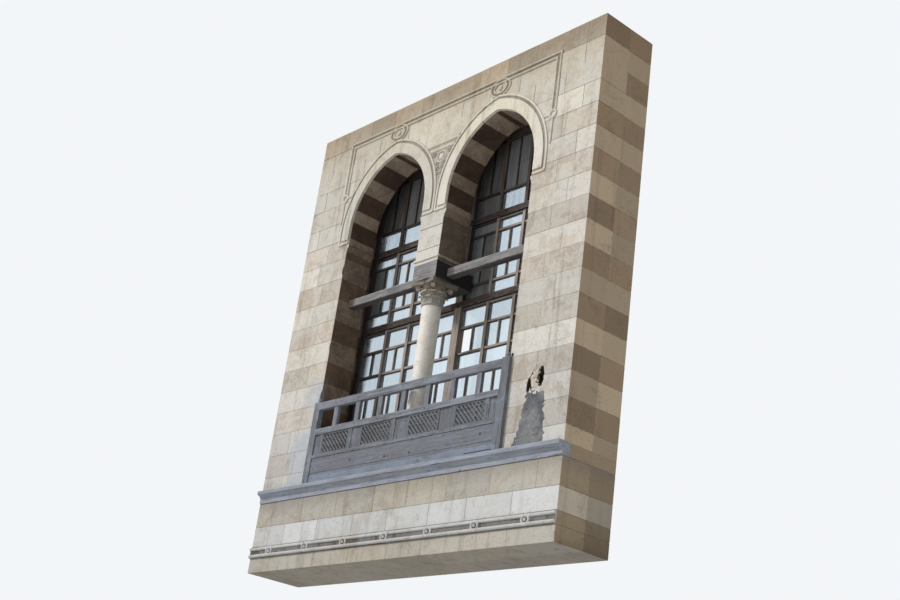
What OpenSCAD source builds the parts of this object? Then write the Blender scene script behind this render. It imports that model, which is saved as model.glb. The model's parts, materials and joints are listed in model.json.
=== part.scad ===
// Glazed screen and lattice balustrade of a corner loggia, in the arched stone bay that holds them.
// X runs along the wall, the street side faces -Y, and Z is up from the flat underside.

/* [Bay] */
// Width of the bay along the wall
bay_w = 5620; // [5400:10:6200]
// Thickness of the wall
wall_t = 850; // [780:10:1000]
// Height of the opening's sill above the underside
sill_z = 1100; // [1050:10:1200]
// Height of one course of stone
course_h = 308; // [300:1:315]
// Height of the part course between the sill and the first full course
first_course_h = 193; // [170:1:210]
// Full courses from there to the top of the bay
courses = 17; // [17:1:19]

/* [Arches] */
// Width of one opening between its jambs
opening_w = 1590; // [1500:10:1640]
// Width of the pier between the openings
pier_w = 450; // [400:10:500]
// Thickness of the wall leaf that carries the arches
leaf_t = 450; // [400:10:500]
// Height of the imposts above the sill
impost_z = 3490; // [3400:10:3550]
// How far an arch stands in over its jamb
arch_inset = 10; // [4:1:30]
// Height of the upright part of an arch above its impost
stilt_h = 230; // [200:5:260]
// Distance of an arc's centre beyond the middle of its arch
arc_offset = 180; // [150:5:210]
// Width of the flat band that runs round an arch
architrave_w = 150; // [130:5:155]

/* [Column] */
// Diameter of the marble shaft
shaft_d = 250; // [220:5:280]
// Distance of the column's axis behind the wall face
column_dy = 205; // [190:5:225]
// Height of the capital
capital_h = 330; // [300:10:360]
// Height of the timber block between capital and pier
block_h = 230; // [180:10:250]

/* [Screen] */
// Distance of the screen's front behind the wall face
screen_dy = 660; // [620:10:680]
// Thickness of the screen's main frame
screen_t = 80; // [60:5:100]
// Half the width of the recess that holds the screen
recess_hw = 2060; // [2000:10:2120]
// Width of the post in the middle of the screen
post_w = 130; // [110:5:160]
// Columns of panes on each side of the post
pane_cols = 4; // [3:1:5]
// Thickness of the glass
glass_t = 4; // [3:1:6]

/* [Balustrade] */
// Height of the top rail's upper face above the sill
rail_top = 1110; // [1050:10:1150]
// Spacing of the balusters
baluster_pitch = 455; // [440:5:470]
// How far the balustrade stands proud of the wall face
bal_proud = 45; // [30:5:60]
// Depth of the balustrade from front to back
bal_t = 70; // [60:5:90]
// Spacing along the rail of the lattice laths
lath_pitch = 66; // [56:1:80]
// Width of a lath
lath_w = 22; // [18:1:26]

/* [Ledge and mouldings] */
// Height of the timber ledge
ledge_h = 160; // [140:5:180]
// How far the ledge stands out from the wall
ledge_proj = 75; // [60:5:90]
// Spacing of the knots on the string moulding
knot_pitch = 790; // [700:10:850]
// Size of the square tie bars
tie_s = 120; // [100:5:140]

/* [Hidden] */
round_fn = 96;

// The origin is in the middle of the plan, so the wall face lies this far in front of it.
face_y = -(wall_t - ledge_proj) / 2;

half_w = bay_w / 2;
jamb_x = pier_w / 2 + opening_w;
arch_x = pier_w / 2 + opening_w / 2;
arch_hw = opening_w / 2 - arch_inset;
arc_r = arch_hw + arc_offset;
impost_top = sill_z + impost_z;
spring_z = impost_top + stilt_h;

// The recess and the arch walls end on bed joints of the coursed stone.
function course_z(k) = sill_z + first_course_h + k * course_h;
bay_h = course_z(courses);
arch_wall_top = course_z(courses - 1);
recess_top = course_z(courses - 2);

// Apron, from the underside up
string_z = 190;
string_h = 150;
string_proj = 42;
string_roll_r = 21;
knot_r = 52;
knot_bead_r = 17;
ledge_z = sill_z - ledge_h;
ledge_seat = 110;

// Column and what it carries
block_z = impost_top - 960;
pier_z = block_z + block_h;
capital_z = block_z - capital_h;
base_h = 330;
plinth_w = 340;
abacus_w = 430;
abacus_h = 55;
leaf_count = 8;

// Mouldings on the wall face: the arches' bands, and the rolls, a groove as wide as a roll apart
band_in = 12;
band_proud = 16;
roll_r = 17;
roll_step = 4 * roll_r;
band_roll = band_in + architrave_w + 3 * roll_r;
frame_x = arch_x + arch_hw + 255;
frame_z = arch_wall_top;
frame_foot = spring_z + 600;
frame_tail = spring_z + 140;
loop_r = 180;
loop_flat = 0.7;
loop_boss_r = 36;
foot_knot_r = 52;
impost_h = 110;
impost_proj = 30;
pier_roll_z = pier_z + 60;

// Rows of the screen, each from its lowest to its highest edge of glass
mullion_w = 50;
muntin_w = 22;
sash_t = 50;
lower_transom_z = 3460;
upper_transom_z = 4640;
transom_h = 90;
transom_out = 25;
sill_rail_h = 100;
head_rail_h = 90;
stile_w = 90;
lower_rows = [[1840, 2040], [2070, 2540], [2570, 2800], [2830, 3160], [3190, 3430]];
middle_rows = [[3575, 3740], [3770, 4450], [4480, 4615]];
upper_rows = [[4755, 5020], [5050, 5793]];
// In each tier these rows have a muntin in the middle of every column.
lower_split = [1, 3];
middle_split = [1];
upper_split = [1];

// Balustrade, from the ledge up
base_board_top = sill_z + 340;
bottom_rail_top = sill_z + 380;
middle_rail_z = sill_z + 660;
middle_rail_top = sill_z + 740;
top_rail_z = sill_z + 1010;
baluster_w = 80;
baluster_t = 50;
end_post_w = 120;
knob_r = 26;
bal_hw = jamb_x + 40;
board_t = 22;
lath_t = 11;
// Each lattice panel's left and right edge, seen from the street
lattice_spans = [[-1570, -1010], [-756, -146], [168, 734], [1010, 1536]];
lattice_frame = 22;
// Posts beside the lattice panels, by their left edges
lattice_post_w = 64;
lattice_posts = [-1634, -1010, -146, 946, 1536];

module at_wall() {
    translate([0, face_y, 0]) children();
}

module slab(x0, x1, y0, y1, z0, z1) {
    translate([x0, y0, z0]) cube([x1 - x0, y1 - y0, z1 - z0]);
}

// A piece and its mirror image share one module: side is -1 for left and 1 for right.
module on_side(side) {
    if (side > 0) children();
    else mirror([1, 0, 0]) children();
}

// Turns a flat outline in X and Z into a plate from y0 to y1.
module upright(y0, y1) {
    translate([0, y1, 0]) rotate([90, 0, 0]) linear_extrude(y1 - y0) children();
}

// Pointed arch outline about the middle of its opening, grown by d on every side
module arch_outline(d, foot_z) {
    intersection() {
        translate([-arc_offset, spring_z]) circle(r = arc_r + d, $fn = round_fn);
        translate([arc_offset, spring_z]) circle(r = arc_r + d, $fn = round_fn);
        translate([-arch_hw - d, spring_z]) square([2 * (arch_hw + d), arc_r + d]);
    }
    translate([-arch_hw - d, foot_z]) square([2 * (arch_hw + d), spring_z - foot_z + 1]);
}

// Apron under the openings, with a rebate in its top edge for the ledge
module apron_wall() {
    color("tan") at_wall() difference() {
        slab(-half_w, half_w, 0, wall_t, 0, sill_z);
        slab(-half_w - 1, half_w + 1, -1, ledge_seat, ledge_z, sill_z + 1);
    }
}

// One knot of the string moulding: a ring that lies over both rolls, with a boss in it
module knot(x) {
    translate([x, -string_roll_r + 4, string_z + string_h / 2]) {
        rotate([90, 0, 0]) rotate_extrude($fn = 48) translate([knot_r, 0]) circle(r = knot_bead_r, $fn = 24);
        rotate([90, 0, 0]) cylinder(h = knot_bead_r, r = knot_bead_r, $fn = 32);
    }
}

// Double roll on a flat band, knotted at each pitch
module string_moulding() {
    band_t = 12;
    color("tan") at_wall() intersection() {
        slab(-half_w, half_w, -string_proj, 0, string_z, string_z + string_h);
        union() {
            slab(-half_w, half_w, -band_t, 0, string_z, string_z + string_h);
            for (z = [string_z + string_roll_r + 8, string_z + string_h - string_roll_r - 8])
                translate([-half_w, -band_t, z]) rotate([0, 90, 0])
                    cylinder(h = bay_w, r = string_roll_r, $fn = 32);
            for (k = [-3:3]) knot(k * knot_pitch);
        }
    }
}

// Moulded timber ledge: a flat nosing over a hollow and a small fillet
module ledge() {
    nosing_h = 48;
    hollow_r = 62;
    fillet_h = ledge_h - nosing_h - hollow_r;
    foot_proj = ledge_proj - hollow_r;
    color("slategray") at_wall() translate([-half_w, 0, ledge_z]) rotate([90, 0, 90])
        linear_extrude(bay_w) difference() {
            union() {
                translate([-foot_proj, 0]) square([ledge_seat + foot_proj, ledge_h]);
                translate([-ledge_proj, fillet_h]) square([ledge_proj, ledge_h - fillet_h]);
            }
            translate([-ledge_proj, fillet_h]) circle(r = hollow_r, $fn = 64);
        }
}

module jamb(side) {
    color("wheat") at_wall() on_side(side)
        slab(jamb_x, half_w, 0, leaf_t, sill_z, impost_top);
}

module back_pier(side) {
    color("wheat") at_wall() on_side(side)
        slab(recess_hw, half_w, leaf_t, wall_t, sill_z, recess_top);
}

module recess_lintel() {
    color("tan") at_wall()
        slab(-half_w, half_w, leaf_t, wall_t, recess_top, arch_wall_top);
}

// Pier with a half-round fillet round its foot
module centre_pier() {
    fillet_r = 18;
    half = pier_w / 2;
    color("wheat") at_wall() {
        slab(-half, half, 0, leaf_t, pier_z, impost_top);
        level_roll(-half - fillet_r, half + fillet_r, pier_roll_z, fillet_r);
        for (side = [-1, 1]) translate([side * half, 0, pier_roll_z]) rotate([-90, 0, 0])
            cylinder(h = leaf_t, r = fillet_r, $fn = 24);
    }
}

// Impost strip that runs through the leaf on a reveal, a fillet over a quarter-round
module impost_strip(x, side) {
    fillet_h = 42;
    round_r = impost_proj - 4;
    translate([x, 0, impost_top]) on_side(side) upright(0, leaf_t) {
        translate([0, -fillet_h]) square([impost_proj, fillet_h]);
        intersection() {
            translate([0, -fillet_h - round_r]) square([round_r, round_r]);
            translate([0, -fillet_h]) circle(r = round_r, $fn = 48);
        }
        translate([0, -impost_h]) square([8, impost_h]);
    }
}

module side_impost(side) {
    color("tan") at_wall() impost_strip(side * jamb_x, -side);
}

module centre_impost() {
    color("tan") at_wall() for (side = [-1, 1]) impost_strip(side * pier_w / 2, side);
}

module arch_wall(side) {
    color("wheat") at_wall() on_side(side) upright(0, leaf_t) difference() {
        translate([0, impost_top]) square([half_w, arch_wall_top - impost_top]);
        translate([arch_x, 0]) arch_outline(0, impost_top - 1);
    }
}

module head_wall() {
    color("wheat") at_wall() slab(-half_w, half_w, 0, wall_t, arch_wall_top, bay_h);
}

// Half of a round bar's section, flat side on the wall
module half_round(r) {
    intersection() {
        circle(r = r, $fn = 24);
        translate([-r, 0]) square([2 * r, r]);
    }
}

// Straight half-round roll on the wall face, upwards from a point
module upright_roll(x, z0, z1, r) {
    translate([x, 0, z0]) intersection() {
        cylinder(h = z1 - z0, r = r, $fn = 24);
        translate([-r, -r, 0]) cube([2 * r, r, z1 - z0]);
    }
}

// Straight half-round roll on the wall face, along the wall
module level_roll(x0, x1, z, r) {
    translate([x0, 0, z]) intersection() {
        rotate([0, 90, 0]) cylinder(h = x1 - x0, r = r, $fn = 24);
        translate([0, -r, -r]) cube([x1 - x0, r, 2 * r]);
    }
}

// Half-round ring on the wall face, pressed down to an oval by the factor flat
module ring_roll(x, z, ring_r, r, flat = 1) {
    translate([x, 0, z]) scale([1, 1, flat]) rotate([90, 0, 0])
        rotate_extrude($fn = 64) translate([ring_r, 0]) half_round(r);
}

// Right half of a roll that follows the arch at distance d, mitred at the apex
module arch_half_roll(d) {
    r = arc_r + d;
    turn = acos(arc_offset / r) + 4;
    clear = roll_r + 1;
    translate([-arc_offset, 0, spring_z]) intersection() {
        rotate([90, 0, 0]) rotate_extrude(angle = turn, $fn = round_fn)
            translate([r, 0]) half_round(roll_r);
        translate([arc_offset, -clear, -1]) cube([r, clear + 1, r + clear]);
    }
    upright_roll(arch_hw + d, impost_top + roll_r, spring_z, roll_r);
}

// Flat band round an arch, and outside it a groove and a roll that turns in across each foot
module architrave(side) {
    color("wheat") at_wall() on_side(side) translate([arch_x, 0, 0]) {
        upright(-band_proud, 0) difference() {
            arch_outline(band_in + architrave_w, impost_top + 4 * roll_r);
            arch_outline(band_in, impost_top);
        }
        for (half = [-1, 1]) on_side(half) {
            arch_half_roll(band_roll);
            level_roll(arch_hw + band_in, arch_hw + band_roll, impost_top + roll_r, roll_r);
        }
    }
}

// Pair of rolls that frames both arches, looped over each apex and knotted at its feet
module frame_moulding() {
    loop_z = (frame_z + spring_z + arc_r + band_roll) / 2;
    knot_z = frame_foot - foot_knot_r;
    color("wheat") at_wall() difference() {
        union() {
            for (d = [-roll_step / 2, roll_step / 2]) {
                edge = frame_x + d;
                level_roll(-edge - roll_r, edge + roll_r, frame_z + d, roll_r);
                for (side = [-1, 1]) upright_roll(side * edge, frame_foot, frame_z + d, roll_r);
            }
            for (side = [-1, 1]) {
                for (r = [loop_r, loop_r - roll_step]) ring_roll(side * arch_x, loop_z, r, roll_r, loop_flat);
                ring_roll(side * frame_x, knot_z, foot_knot_r, roll_r);
                on_side(side) level_roll(arch_x, frame_x - foot_knot_r, knot_z, roll_r);
                upright_roll(side * frame_x, frame_tail, knot_z - foot_knot_r, roll_r);
                translate([side * arch_x, 0, loop_z]) intersection() {
                    scale([1, 0.6, 1.2]) sphere(r = loop_boss_r, $fn = 32);
                    translate([0, -loop_boss_r / 2, 0]) cube([3, 1, 3] * loop_boss_r, center = true);
                }
            }
        }
        for (side = [-1, 1]) translate([side * arch_x, 0, 0])
            upright(-2 * roll_r, 1) arch_outline(band_roll + roll_r, impost_top);
    }
}

// Attic base on a square plinth
module column_base() {
    plinth_h = 120;
    torus_r = 38;
    color("gainsboro") at_wall() translate([0, column_dy, sill_z]) {
        translate([-plinth_w / 2, -plinth_w / 2, 0]) cube([plinth_w, plinth_w, plinth_h]);
        rotate_extrude($fn = round_fn) {
            square([shaft_d / 2 + 8, base_h]);
            translate([0, plinth_h]) square([shaft_d / 2 + 6, 2 * torus_r]);
            translate([shaft_d / 2 + 6, plinth_h + torus_r]) circle(r = torus_r, $fn = 32);
            translate([0, base_h - 60]) square([shaft_d / 2 + 6, 46]);
            translate([shaft_d / 2 + 6, base_h - 37]) circle(r = 23, $fn = 32);
        }
    }
}

module column_shaft() {
    color("white") at_wall() translate([0, column_dy, sill_z + base_h])
        cylinder(h = capital_z - sill_z - base_h, d = shaft_d, $fn = round_fn);
}

// One ring of leaves: curved tongues that lean out from the bell and curl at the tip
module leaf_ring(z0, h, r0, out, turn) {
    curl = 15;
    gap = 7;
    translate([0, 0, z0]) for (i = [0:leaf_count - 1]) rotate(i * 360 / leaf_count + turn)
        rotate_extrude(angle = 360 / leaf_count - gap, $fn = round_fn) {
            polygon([[r0 - 30, 0], [r0 + 6, 0], [r0 + 10, h * 0.5], [r0 + out, h - curl],
                     [r0 + out - 20, h - curl], [r0 - 30, h * 0.7]]);
            translate([r0 + out - 4, h - curl]) circle(r = curl, $fn = 24);
        }
}

// Capital: bell with two rings of leaves, volutes at its corners, and an abacus with hollow sides
module column_capital() {
    neck_r = shaft_d / 2;
    bell_r = neck_r + 34;
    bell_h = capital_h - abacus_h;
    hollow_r = 460;
    volute_r = 34;
    color("burlywood") at_wall() translate([0, column_dy, capital_z]) {
        rotate_extrude($fn = round_fn) {
            polygon([[0, 0], [neck_r, 0], [neck_r + 4, bell_h * 0.6], [bell_r, bell_h], [0, bell_h]]);
            translate([neck_r, 16]) circle(r = 16, $fn = 24);
        }
        leaf_ring(26, 104, neck_r, 24, 0);
        leaf_ring(96, 104, neck_r + 4, 34, 180 / leaf_count);
        for (a = [45:90:315]) rotate(a) translate([bell_r + 46, 22, bell_h - volute_r + 4])
            rotate([90, 0, 0]) cylinder(h = 44, r = volute_r, $fn = 48);
        difference() {
            translate([-abacus_w / 2, -abacus_w / 2, bell_h]) cube([abacus_w, abacus_w, abacus_h]);
            for (a = [0:90:270]) rotate(a) translate([abacus_w / 2 + hollow_r - 34, 0, bell_h - 1])
                cylinder(h = abacus_h + 2, r = hollow_r, $fn = round_fn);
        }
    }
}

// Timber block under the pier that runs back to the screen's post
module pier_block() {
    color("saddlebrown") at_wall()
        slab(-pier_w / 2, pier_w / 2, 0, screen_dy - transom_out, block_z, pier_z);
}

// Beam along the wall with its long edges chamfered
module chamfered_beam(x0, x1, y0, y1, z0, z1, cut) {
    translate([x0, 0, 0]) rotate([90, 0, 90]) linear_extrude(x1 - x0)
        polygon([[y0 + cut, z0], [y1 - cut, z0], [y1, z0 + cut], [y1, z1 - cut],
                 [y1 - cut, z1], [y0 + cut, z1], [y0, z1 - cut], [y0, z0 + cut]]);
}

module tie_bar(side) {
    tie_dy = 190;
    tie_z = block_z + 55;
    color("dimgray") at_wall() on_side(side)
        chamfered_beam(pier_w / 2, jamb_x, tie_dy, tie_dy + tie_s, tie_z, tie_z + tie_s, 9);
}

module screen_sill() {
    color("sienna") at_wall()
        slab(-recess_hw, recess_hw, screen_dy - transom_out, screen_dy + screen_t, sill_z, sill_z + sill_rail_h);
}

module screen_head() {
    color("sienna") at_wall()
        slab(-recess_hw, recess_hw, screen_dy, screen_dy + screen_t, recess_top - head_rail_h, recess_top);
}

module stile(side) {
    color("sienna") at_wall() on_side(side)
        slab(recess_hw - stile_w, recess_hw, screen_dy, screen_dy + screen_t,
             sill_z + sill_rail_h, recess_top - head_rail_h);
}

// The post is notched where each transom passes in front of it.
module screen_post() {
    color("sienna") at_wall() difference() {
        slab(-post_w / 2, post_w / 2, screen_dy - transom_out, screen_dy + screen_t,
             sill_z + sill_rail_h, recess_top - head_rail_h);
        for (z = [lower_transom_z, upper_transom_z])
            slab(-post_w, post_w, screen_dy - transom_out - 1, screen_dy + screen_t + 1, z, z + transom_h);
    }
}

module transom(z) {
    edge = recess_hw - stile_w;
    color("sienna") at_wall()
        chamfered_beam(-edge, edge, screen_dy - transom_out, screen_dy + screen_t, z, z + transom_h, 6);
}

function col_edge(k) = post_w / 2 + k * (recess_hw - stile_w - post_w / 2) / pane_cols;
function pane_left(k) = col_edge(k) + (k == 0 ? 0 : mullion_w / 2);
function pane_right(k) = col_edge(k + 1) - (k == pane_cols - 1 ? 0 : mullion_w / 2);
function has(list, i) = len(search(i, list)) > 0;

// Mullions, muntins and glazing bars between two rails
module sashes(side, z0, z1, rows, split) {
    at_wall() on_side(side) {
        for (k = [1:pane_cols - 1])
            slab(col_edge(k) - mullion_w / 2, col_edge(k) + mullion_w / 2,
                 screen_dy + 5, screen_dy + screen_t - 5, z0, z1);
        for (i = [0:len(rows) - 1]) {
            low = i == 0 ? z0 : rows[i - 1][1];
            slab(col_edge(0), col_edge(pane_cols), screen_dy + 15, screen_dy + 15 + sash_t, low, rows[i][0]);
            if (has(split, i)) for (k = [0:pane_cols - 1]) {
                mid = (pane_left(k) + pane_right(k)) / 2;
                slab(mid - muntin_w / 2, mid + muntin_w / 2,
                     screen_dy + 20, screen_dy + 10 + sash_t, rows[i][0] - 1, rows[i][1] + 1);
            }
        }
        slab(col_edge(0), col_edge(pane_cols), screen_dy + 15, screen_dy + 15 + sash_t,
             rows[len(rows) - 1][1], z1);
    }
}

module lower_sashes(side) {
    color("sienna") sashes(side, sill_z + sill_rail_h, lower_transom_z, lower_rows, lower_split);
}

module middle_sashes(side) {
    color("sienna") sashes(side, lower_transom_z + transom_h, upper_transom_z, middle_rows, middle_split);
}

module upper_lights(side) {
    color("sienna") sashes(side, upper_transom_z + transom_h, recess_top - head_rail_h, upper_rows, upper_split);
}

// One pane, or a pair beside a muntin
module panes(k, z0, z1, split, keep_first) {
    mid = (pane_left(k) + pane_right(k)) / 2;
    y0 = screen_dy + 38;
    if (split) {
        if (keep_first) slab(pane_left(k), mid - muntin_w / 2, y0, y0 + glass_t, z0, z1);
        slab(mid + muntin_w / 2, pane_right(k), y0, y0 + glass_t, z0, z1);
    } else slab(pane_left(k), pane_right(k), y0, y0 + glass_t, z0, z1);
}

// All the panes of one half: one is missing beside the post on the right.
module glass(side) {
    tiers = [[lower_rows, lower_split], [middle_rows, middle_split], [upper_rows, upper_split]];
    missing_row = 3;
    color("lightblue") at_wall() on_side(side)
        for (t = [0:2], i = [0:len(tiers[t][0]) - 1], k = [0:pane_cols - 1]) {
            row = tiers[t][0][i];
            panes(k, row[0], row[1], has(tiers[t][1], i), !(side > 0 && t == 0 && i == missing_row && k == 0));
        }
}

module base_board() {
    color("slategray") at_wall()
        slab(-bal_hw + end_post_w, bal_hw - end_post_w, -bal_proud + 10, -bal_proud + 50, sill_z, base_board_top);
}

module rail(z0, z1, out) {
    color("slategray") at_wall()
        slab(-bal_hw + end_post_w, bal_hw - end_post_w, -bal_proud - out, -bal_proud + bal_t - 10, z0, z1);
}

// End post, rebated over the corner of the jamb, with a turned knob on top
module end_post(side) {
    post_top = sill_z + rail_top + 14;
    front = -bal_proud - 4;
    color("slategray") at_wall() on_side(side) {
        slab(bal_hw - end_post_w, bal_hw, front, 0, sill_z, post_top);
        slab(bal_hw - end_post_w, jamb_x, -1, -bal_proud + bal_t, sill_z, post_top);
        translate([bal_hw - end_post_w / 2, front + knob_r + 4, post_top]) rotate_extrude($fn = 48) {
            square([knob_r * 0.6, knob_r]);
            intersection() {
                translate([0, knob_r * 1.3]) circle(r = knob_r, $fn = 48);
                square([knob_r, knob_r * 3]);
            }
        }
    }
}

module balusters() {
    color("slategray") at_wall() for (k = [-3:3])
        slab(k * baluster_pitch - baluster_w / 2, k * baluster_pitch + baluster_w / 2,
             -bal_proud + 4, -bal_proud + 4 + baluster_t, middle_rail_top, top_rail_z);
}

// Boards between the lattice panels, with the posts that stand proud of them
module panel_boards() {
    inner = bal_hw - end_post_w;
    edges = concat([-inner], [for (s = lattice_spans) each s], [inner]);
    color("slategray") at_wall() {
        for (i = [0:2:len(edges) - 1])
            slab(edges[i], edges[i + 1], -bal_proud + 16, -bal_proud + 16 + board_t, bottom_rail_top, middle_rail_z);
        for (x = lattice_posts)
            slab(x, x + lattice_post_w, -bal_proud + 4, -bal_proud + bal_t - 20, bottom_rail_top, middle_rail_z);
    }
}

// Laths in one diagonal direction, cut to the opening of a panel
module laths(x0, x1, z0, z1, turn) {
    reach = x1 - x0 + z1 - z0;
    intersection() {
        translate([x0, z0]) square([x1 - x0, z1 - z0]);
        for (d = [-reach:lath_pitch:reach])
            translate([(x0 + x1) / 2 + d, (z0 + z1) / 2]) rotate(turn)
                translate([-lath_w / 2, -reach]) square([lath_w, 2 * reach]);
    }
}

// Diagonal lattice of two layers of laths let into each other, in a thin frame
module lattice_panel(i) {
    x0 = lattice_spans[i][0];
    x1 = lattice_spans[i][1];
    f = lattice_frame;
    front = -bal_proud + 12;
    color("slategray") at_wall() {
        upright(front, front + lath_t) laths(x0 + f - 1, x1 - f + 1, bottom_rail_top + f - 1, middle_rail_z - f + 1, 45);
        upright(front + lath_t - 3, front + 2 * lath_t - 3)
            laths(x0 + f - 1, x1 - f + 1, bottom_rail_top + f - 1, middle_rail_z - f + 1, -45);
        upright(front - 4, front + 26) difference() {
            translate([x0, bottom_rail_top]) square([x1 - x0, middle_rail_z - bottom_rail_top]);
            translate([x0 + f, bottom_rail_top + f]) square([x1 - x0 - 2 * f, middle_rail_z - bottom_rail_top - 2 * f]);
        }
    }
}

apron_wall();
string_moulding();
ledge();
jamb(-1);  // left_jamb
jamb(1);  // right_jamb
back_pier(-1);  // left_back_pier
back_pier(1);  // right_back_pier
recess_lintel();
centre_pier();
side_impost(-1);  // left_impost
centre_impost();
side_impost(1);  // right_impost
arch_wall(-1);  // left_arch_wall
arch_wall(1);  // right_arch_wall
head_wall();
architrave(-1);  // left_architrave
architrave(1);  // right_architrave
frame_moulding();
column_base();
column_shaft();
column_capital();
pier_block();
tie_bar(-1);  // left_tie_bar
tie_bar(1);  // right_tie_bar
screen_sill();
screen_head();
stile(-1);  // left_stile
stile(1);  // right_stile
screen_post();
transom(lower_transom_z);  // lower_transom
transom(upper_transom_z);  // upper_transom
lower_sashes(-1);  // left_lower_sashes
lower_sashes(1);  // right_lower_sashes
middle_sashes(-1);  // left_middle_sashes
middle_sashes(1);  // right_middle_sashes
upper_lights(-1);  // left_upper_lights
upper_lights(1);  // right_upper_lights
glass(-1);  // left_glass
glass(1);  // right_glass
base_board();
rail(base_board_top, bottom_rail_top, 0);  // bottom_rail
rail(middle_rail_z, middle_rail_top, 8);  // middle_rail
rail(top_rail_z, sill_z + rail_top, 8);  // top_rail
end_post(-1);  // left_end_post
end_post(1);  // right_end_post
balusters();
panel_boards();
lattice_panel(0);  // lattice_panel_1
lattice_panel(1);  // lattice_panel_2
lattice_panel(2);  // lattice_panel_3
lattice_panel(3);  // lattice_panel_4
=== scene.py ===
"""Dresses the loggia bay: coursed stone, striped arches, marble column, weathered timber and old glass."""

import json
import math
import random

import bpy
import numpy as np
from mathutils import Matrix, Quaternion, Vector, noise

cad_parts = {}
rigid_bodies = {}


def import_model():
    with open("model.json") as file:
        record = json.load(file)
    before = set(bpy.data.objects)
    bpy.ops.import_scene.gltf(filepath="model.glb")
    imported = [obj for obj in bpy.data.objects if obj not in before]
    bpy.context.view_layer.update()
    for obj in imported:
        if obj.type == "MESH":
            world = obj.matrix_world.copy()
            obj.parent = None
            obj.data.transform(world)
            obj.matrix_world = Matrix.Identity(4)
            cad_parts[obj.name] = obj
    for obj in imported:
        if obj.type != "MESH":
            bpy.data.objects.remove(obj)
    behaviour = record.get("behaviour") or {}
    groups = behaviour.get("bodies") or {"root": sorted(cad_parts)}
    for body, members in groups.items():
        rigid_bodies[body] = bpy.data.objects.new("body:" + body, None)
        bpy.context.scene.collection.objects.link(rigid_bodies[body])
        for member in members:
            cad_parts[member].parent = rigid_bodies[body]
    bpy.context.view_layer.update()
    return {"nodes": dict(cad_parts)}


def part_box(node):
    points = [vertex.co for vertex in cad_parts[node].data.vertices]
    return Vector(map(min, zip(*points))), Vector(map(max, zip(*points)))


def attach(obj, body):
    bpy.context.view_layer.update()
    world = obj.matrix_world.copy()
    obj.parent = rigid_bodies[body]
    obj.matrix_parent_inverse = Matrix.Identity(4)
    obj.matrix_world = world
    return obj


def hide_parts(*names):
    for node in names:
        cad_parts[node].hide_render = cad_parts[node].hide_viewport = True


bl_info = {
    "name": "Loggia Bay",
    "version": (1, 0, 0),
    "blender": (4, 5, 0),
    "location": "3D View > Sidebar > Loggia Bay",
    "description": "Stonework, timber and glass of an arched loggia bay with a screen and a lattice balustrade",
    "category": "Add Mesh",
}

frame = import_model()

# Planes of the construction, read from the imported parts.
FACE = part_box("right_jamb")[0].y
LEAF_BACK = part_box("right_jamb")[1].y
WALL_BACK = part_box("right_back_pier")[1].y
HALF_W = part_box("right_jamb")[1].x
JAMB_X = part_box("right_jamb")[0].x
RECESS_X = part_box("right_back_pier")[0].x
PIER_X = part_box("centre_pier")[1].x - 0.018
PIER_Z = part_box("centre_pier")[0].z
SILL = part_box("right_jamb")[0].z
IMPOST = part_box("right_jamb")[1].z
RECESS_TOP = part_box("right_back_pier")[1].z
ARCH_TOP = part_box("right_arch_wall")[1].z
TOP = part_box("head_wall")[1].z
LEDGE_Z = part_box("ledge")[0].z
STRING_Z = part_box("string_moulding")[0].z
STRING_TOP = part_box("string_moulding")[1].z
COURSE = TOP - ARCH_TOP
# Courses counted from the bed joint nearest the sill: all of them, and up to the head course, lintel and imposts.
COURSES, HEAD_COURSE, LINTEL_COURSE, IMPOST_COURSE = 17, 16, 15, 11
ARCH_X = (PIER_X + JAMB_X) / 2
# The carved panel between the arches, and the oval loops of the frame moulding over them.
BAND_FOOT = IMPOST + 0.068
PANEL_TOP, MEDALLION_Z = 5.665, 5.425
LOOP_Z, LOOP_RADIUS, LOOP_HEIGHT, LOOP_BAND = 6.11, 0.17, 0.7, 0.045
FRAME_FOOT = 5.42
PALE_COURSE_TOP = 0.61
# Heights between which the stone turns cooler, warmer and less bleached. The warmer, less bleached top is patina kept
# from the rain together with painted warm shade under the eave.
COOL_SPAN, WARM_SPAN, SHELTER_SPAN = (0.5, 3.8), (4.9, 6.2), (5.8, 6.5)
# Panes above the first height, and below the second, are nearly black: painted shade under the arches and behind the
# lattice.
SOOT_AND_SHADE_ABOVE, SOOT_AND_SHADE_BELOW = 5.03, 2.06
BOARD_PAINT_TOP = 1.215
PAST_TOP = 2.2
# How far behind the wall's front, and inside its other planes, a face still counts as part of them.
WORN_BACK, IN_PLANE = 0.011, 0.009
SIDES = ((-1, "left"), (1, "right"))
QUARTERS = (0, 1.5708, 3.1416, 4.7124)
# Hollows in the stonework: middle and half sizes. The first two are the slots in the right jamb.
HOLLOWS = (
    (2.352, FACE, 1.905, 0.05, 0.10, 0.125), (2.163, FACE, 1.81, 0.026, 0.07, 0.11),
    (2.25, FACE, 1.87, 0.075, 0.028, 0.14), (2.22, FACE, 1.66, 0.05, 0.02, 0.06),
    (-JAMB_X, FACE, 2.31, 0.03, 0.04, 0.11), (-JAMB_X, FACE, 4.185, 0.022, 0.03, 0.07),
    (-JAMB_X, FACE, 3.05, 0.012, 0.02, 0.06), (JAMB_X, FACE, 4.02, 0.018, 0.03, 0.05),
)
FRAME_X = RECESS_X
BOARD_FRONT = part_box("base_board")[0].y
SCREEN_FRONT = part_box("left_lower_sashes")[0].y
AXIS_Y = (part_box("column_shaft")[0].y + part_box("column_shaft")[1].y) / 2
CAPITAL_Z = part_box("column_capital")[0].z
FLUSH = (FACE, LEAF_BACK, WALL_BACK, HALF_W, JAMB_X, RECESS_X, PIER_X, 0.0, TOP, SILL, RECESS_TOP, PIER_Z)


# ---- Sizes and colours ----


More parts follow.
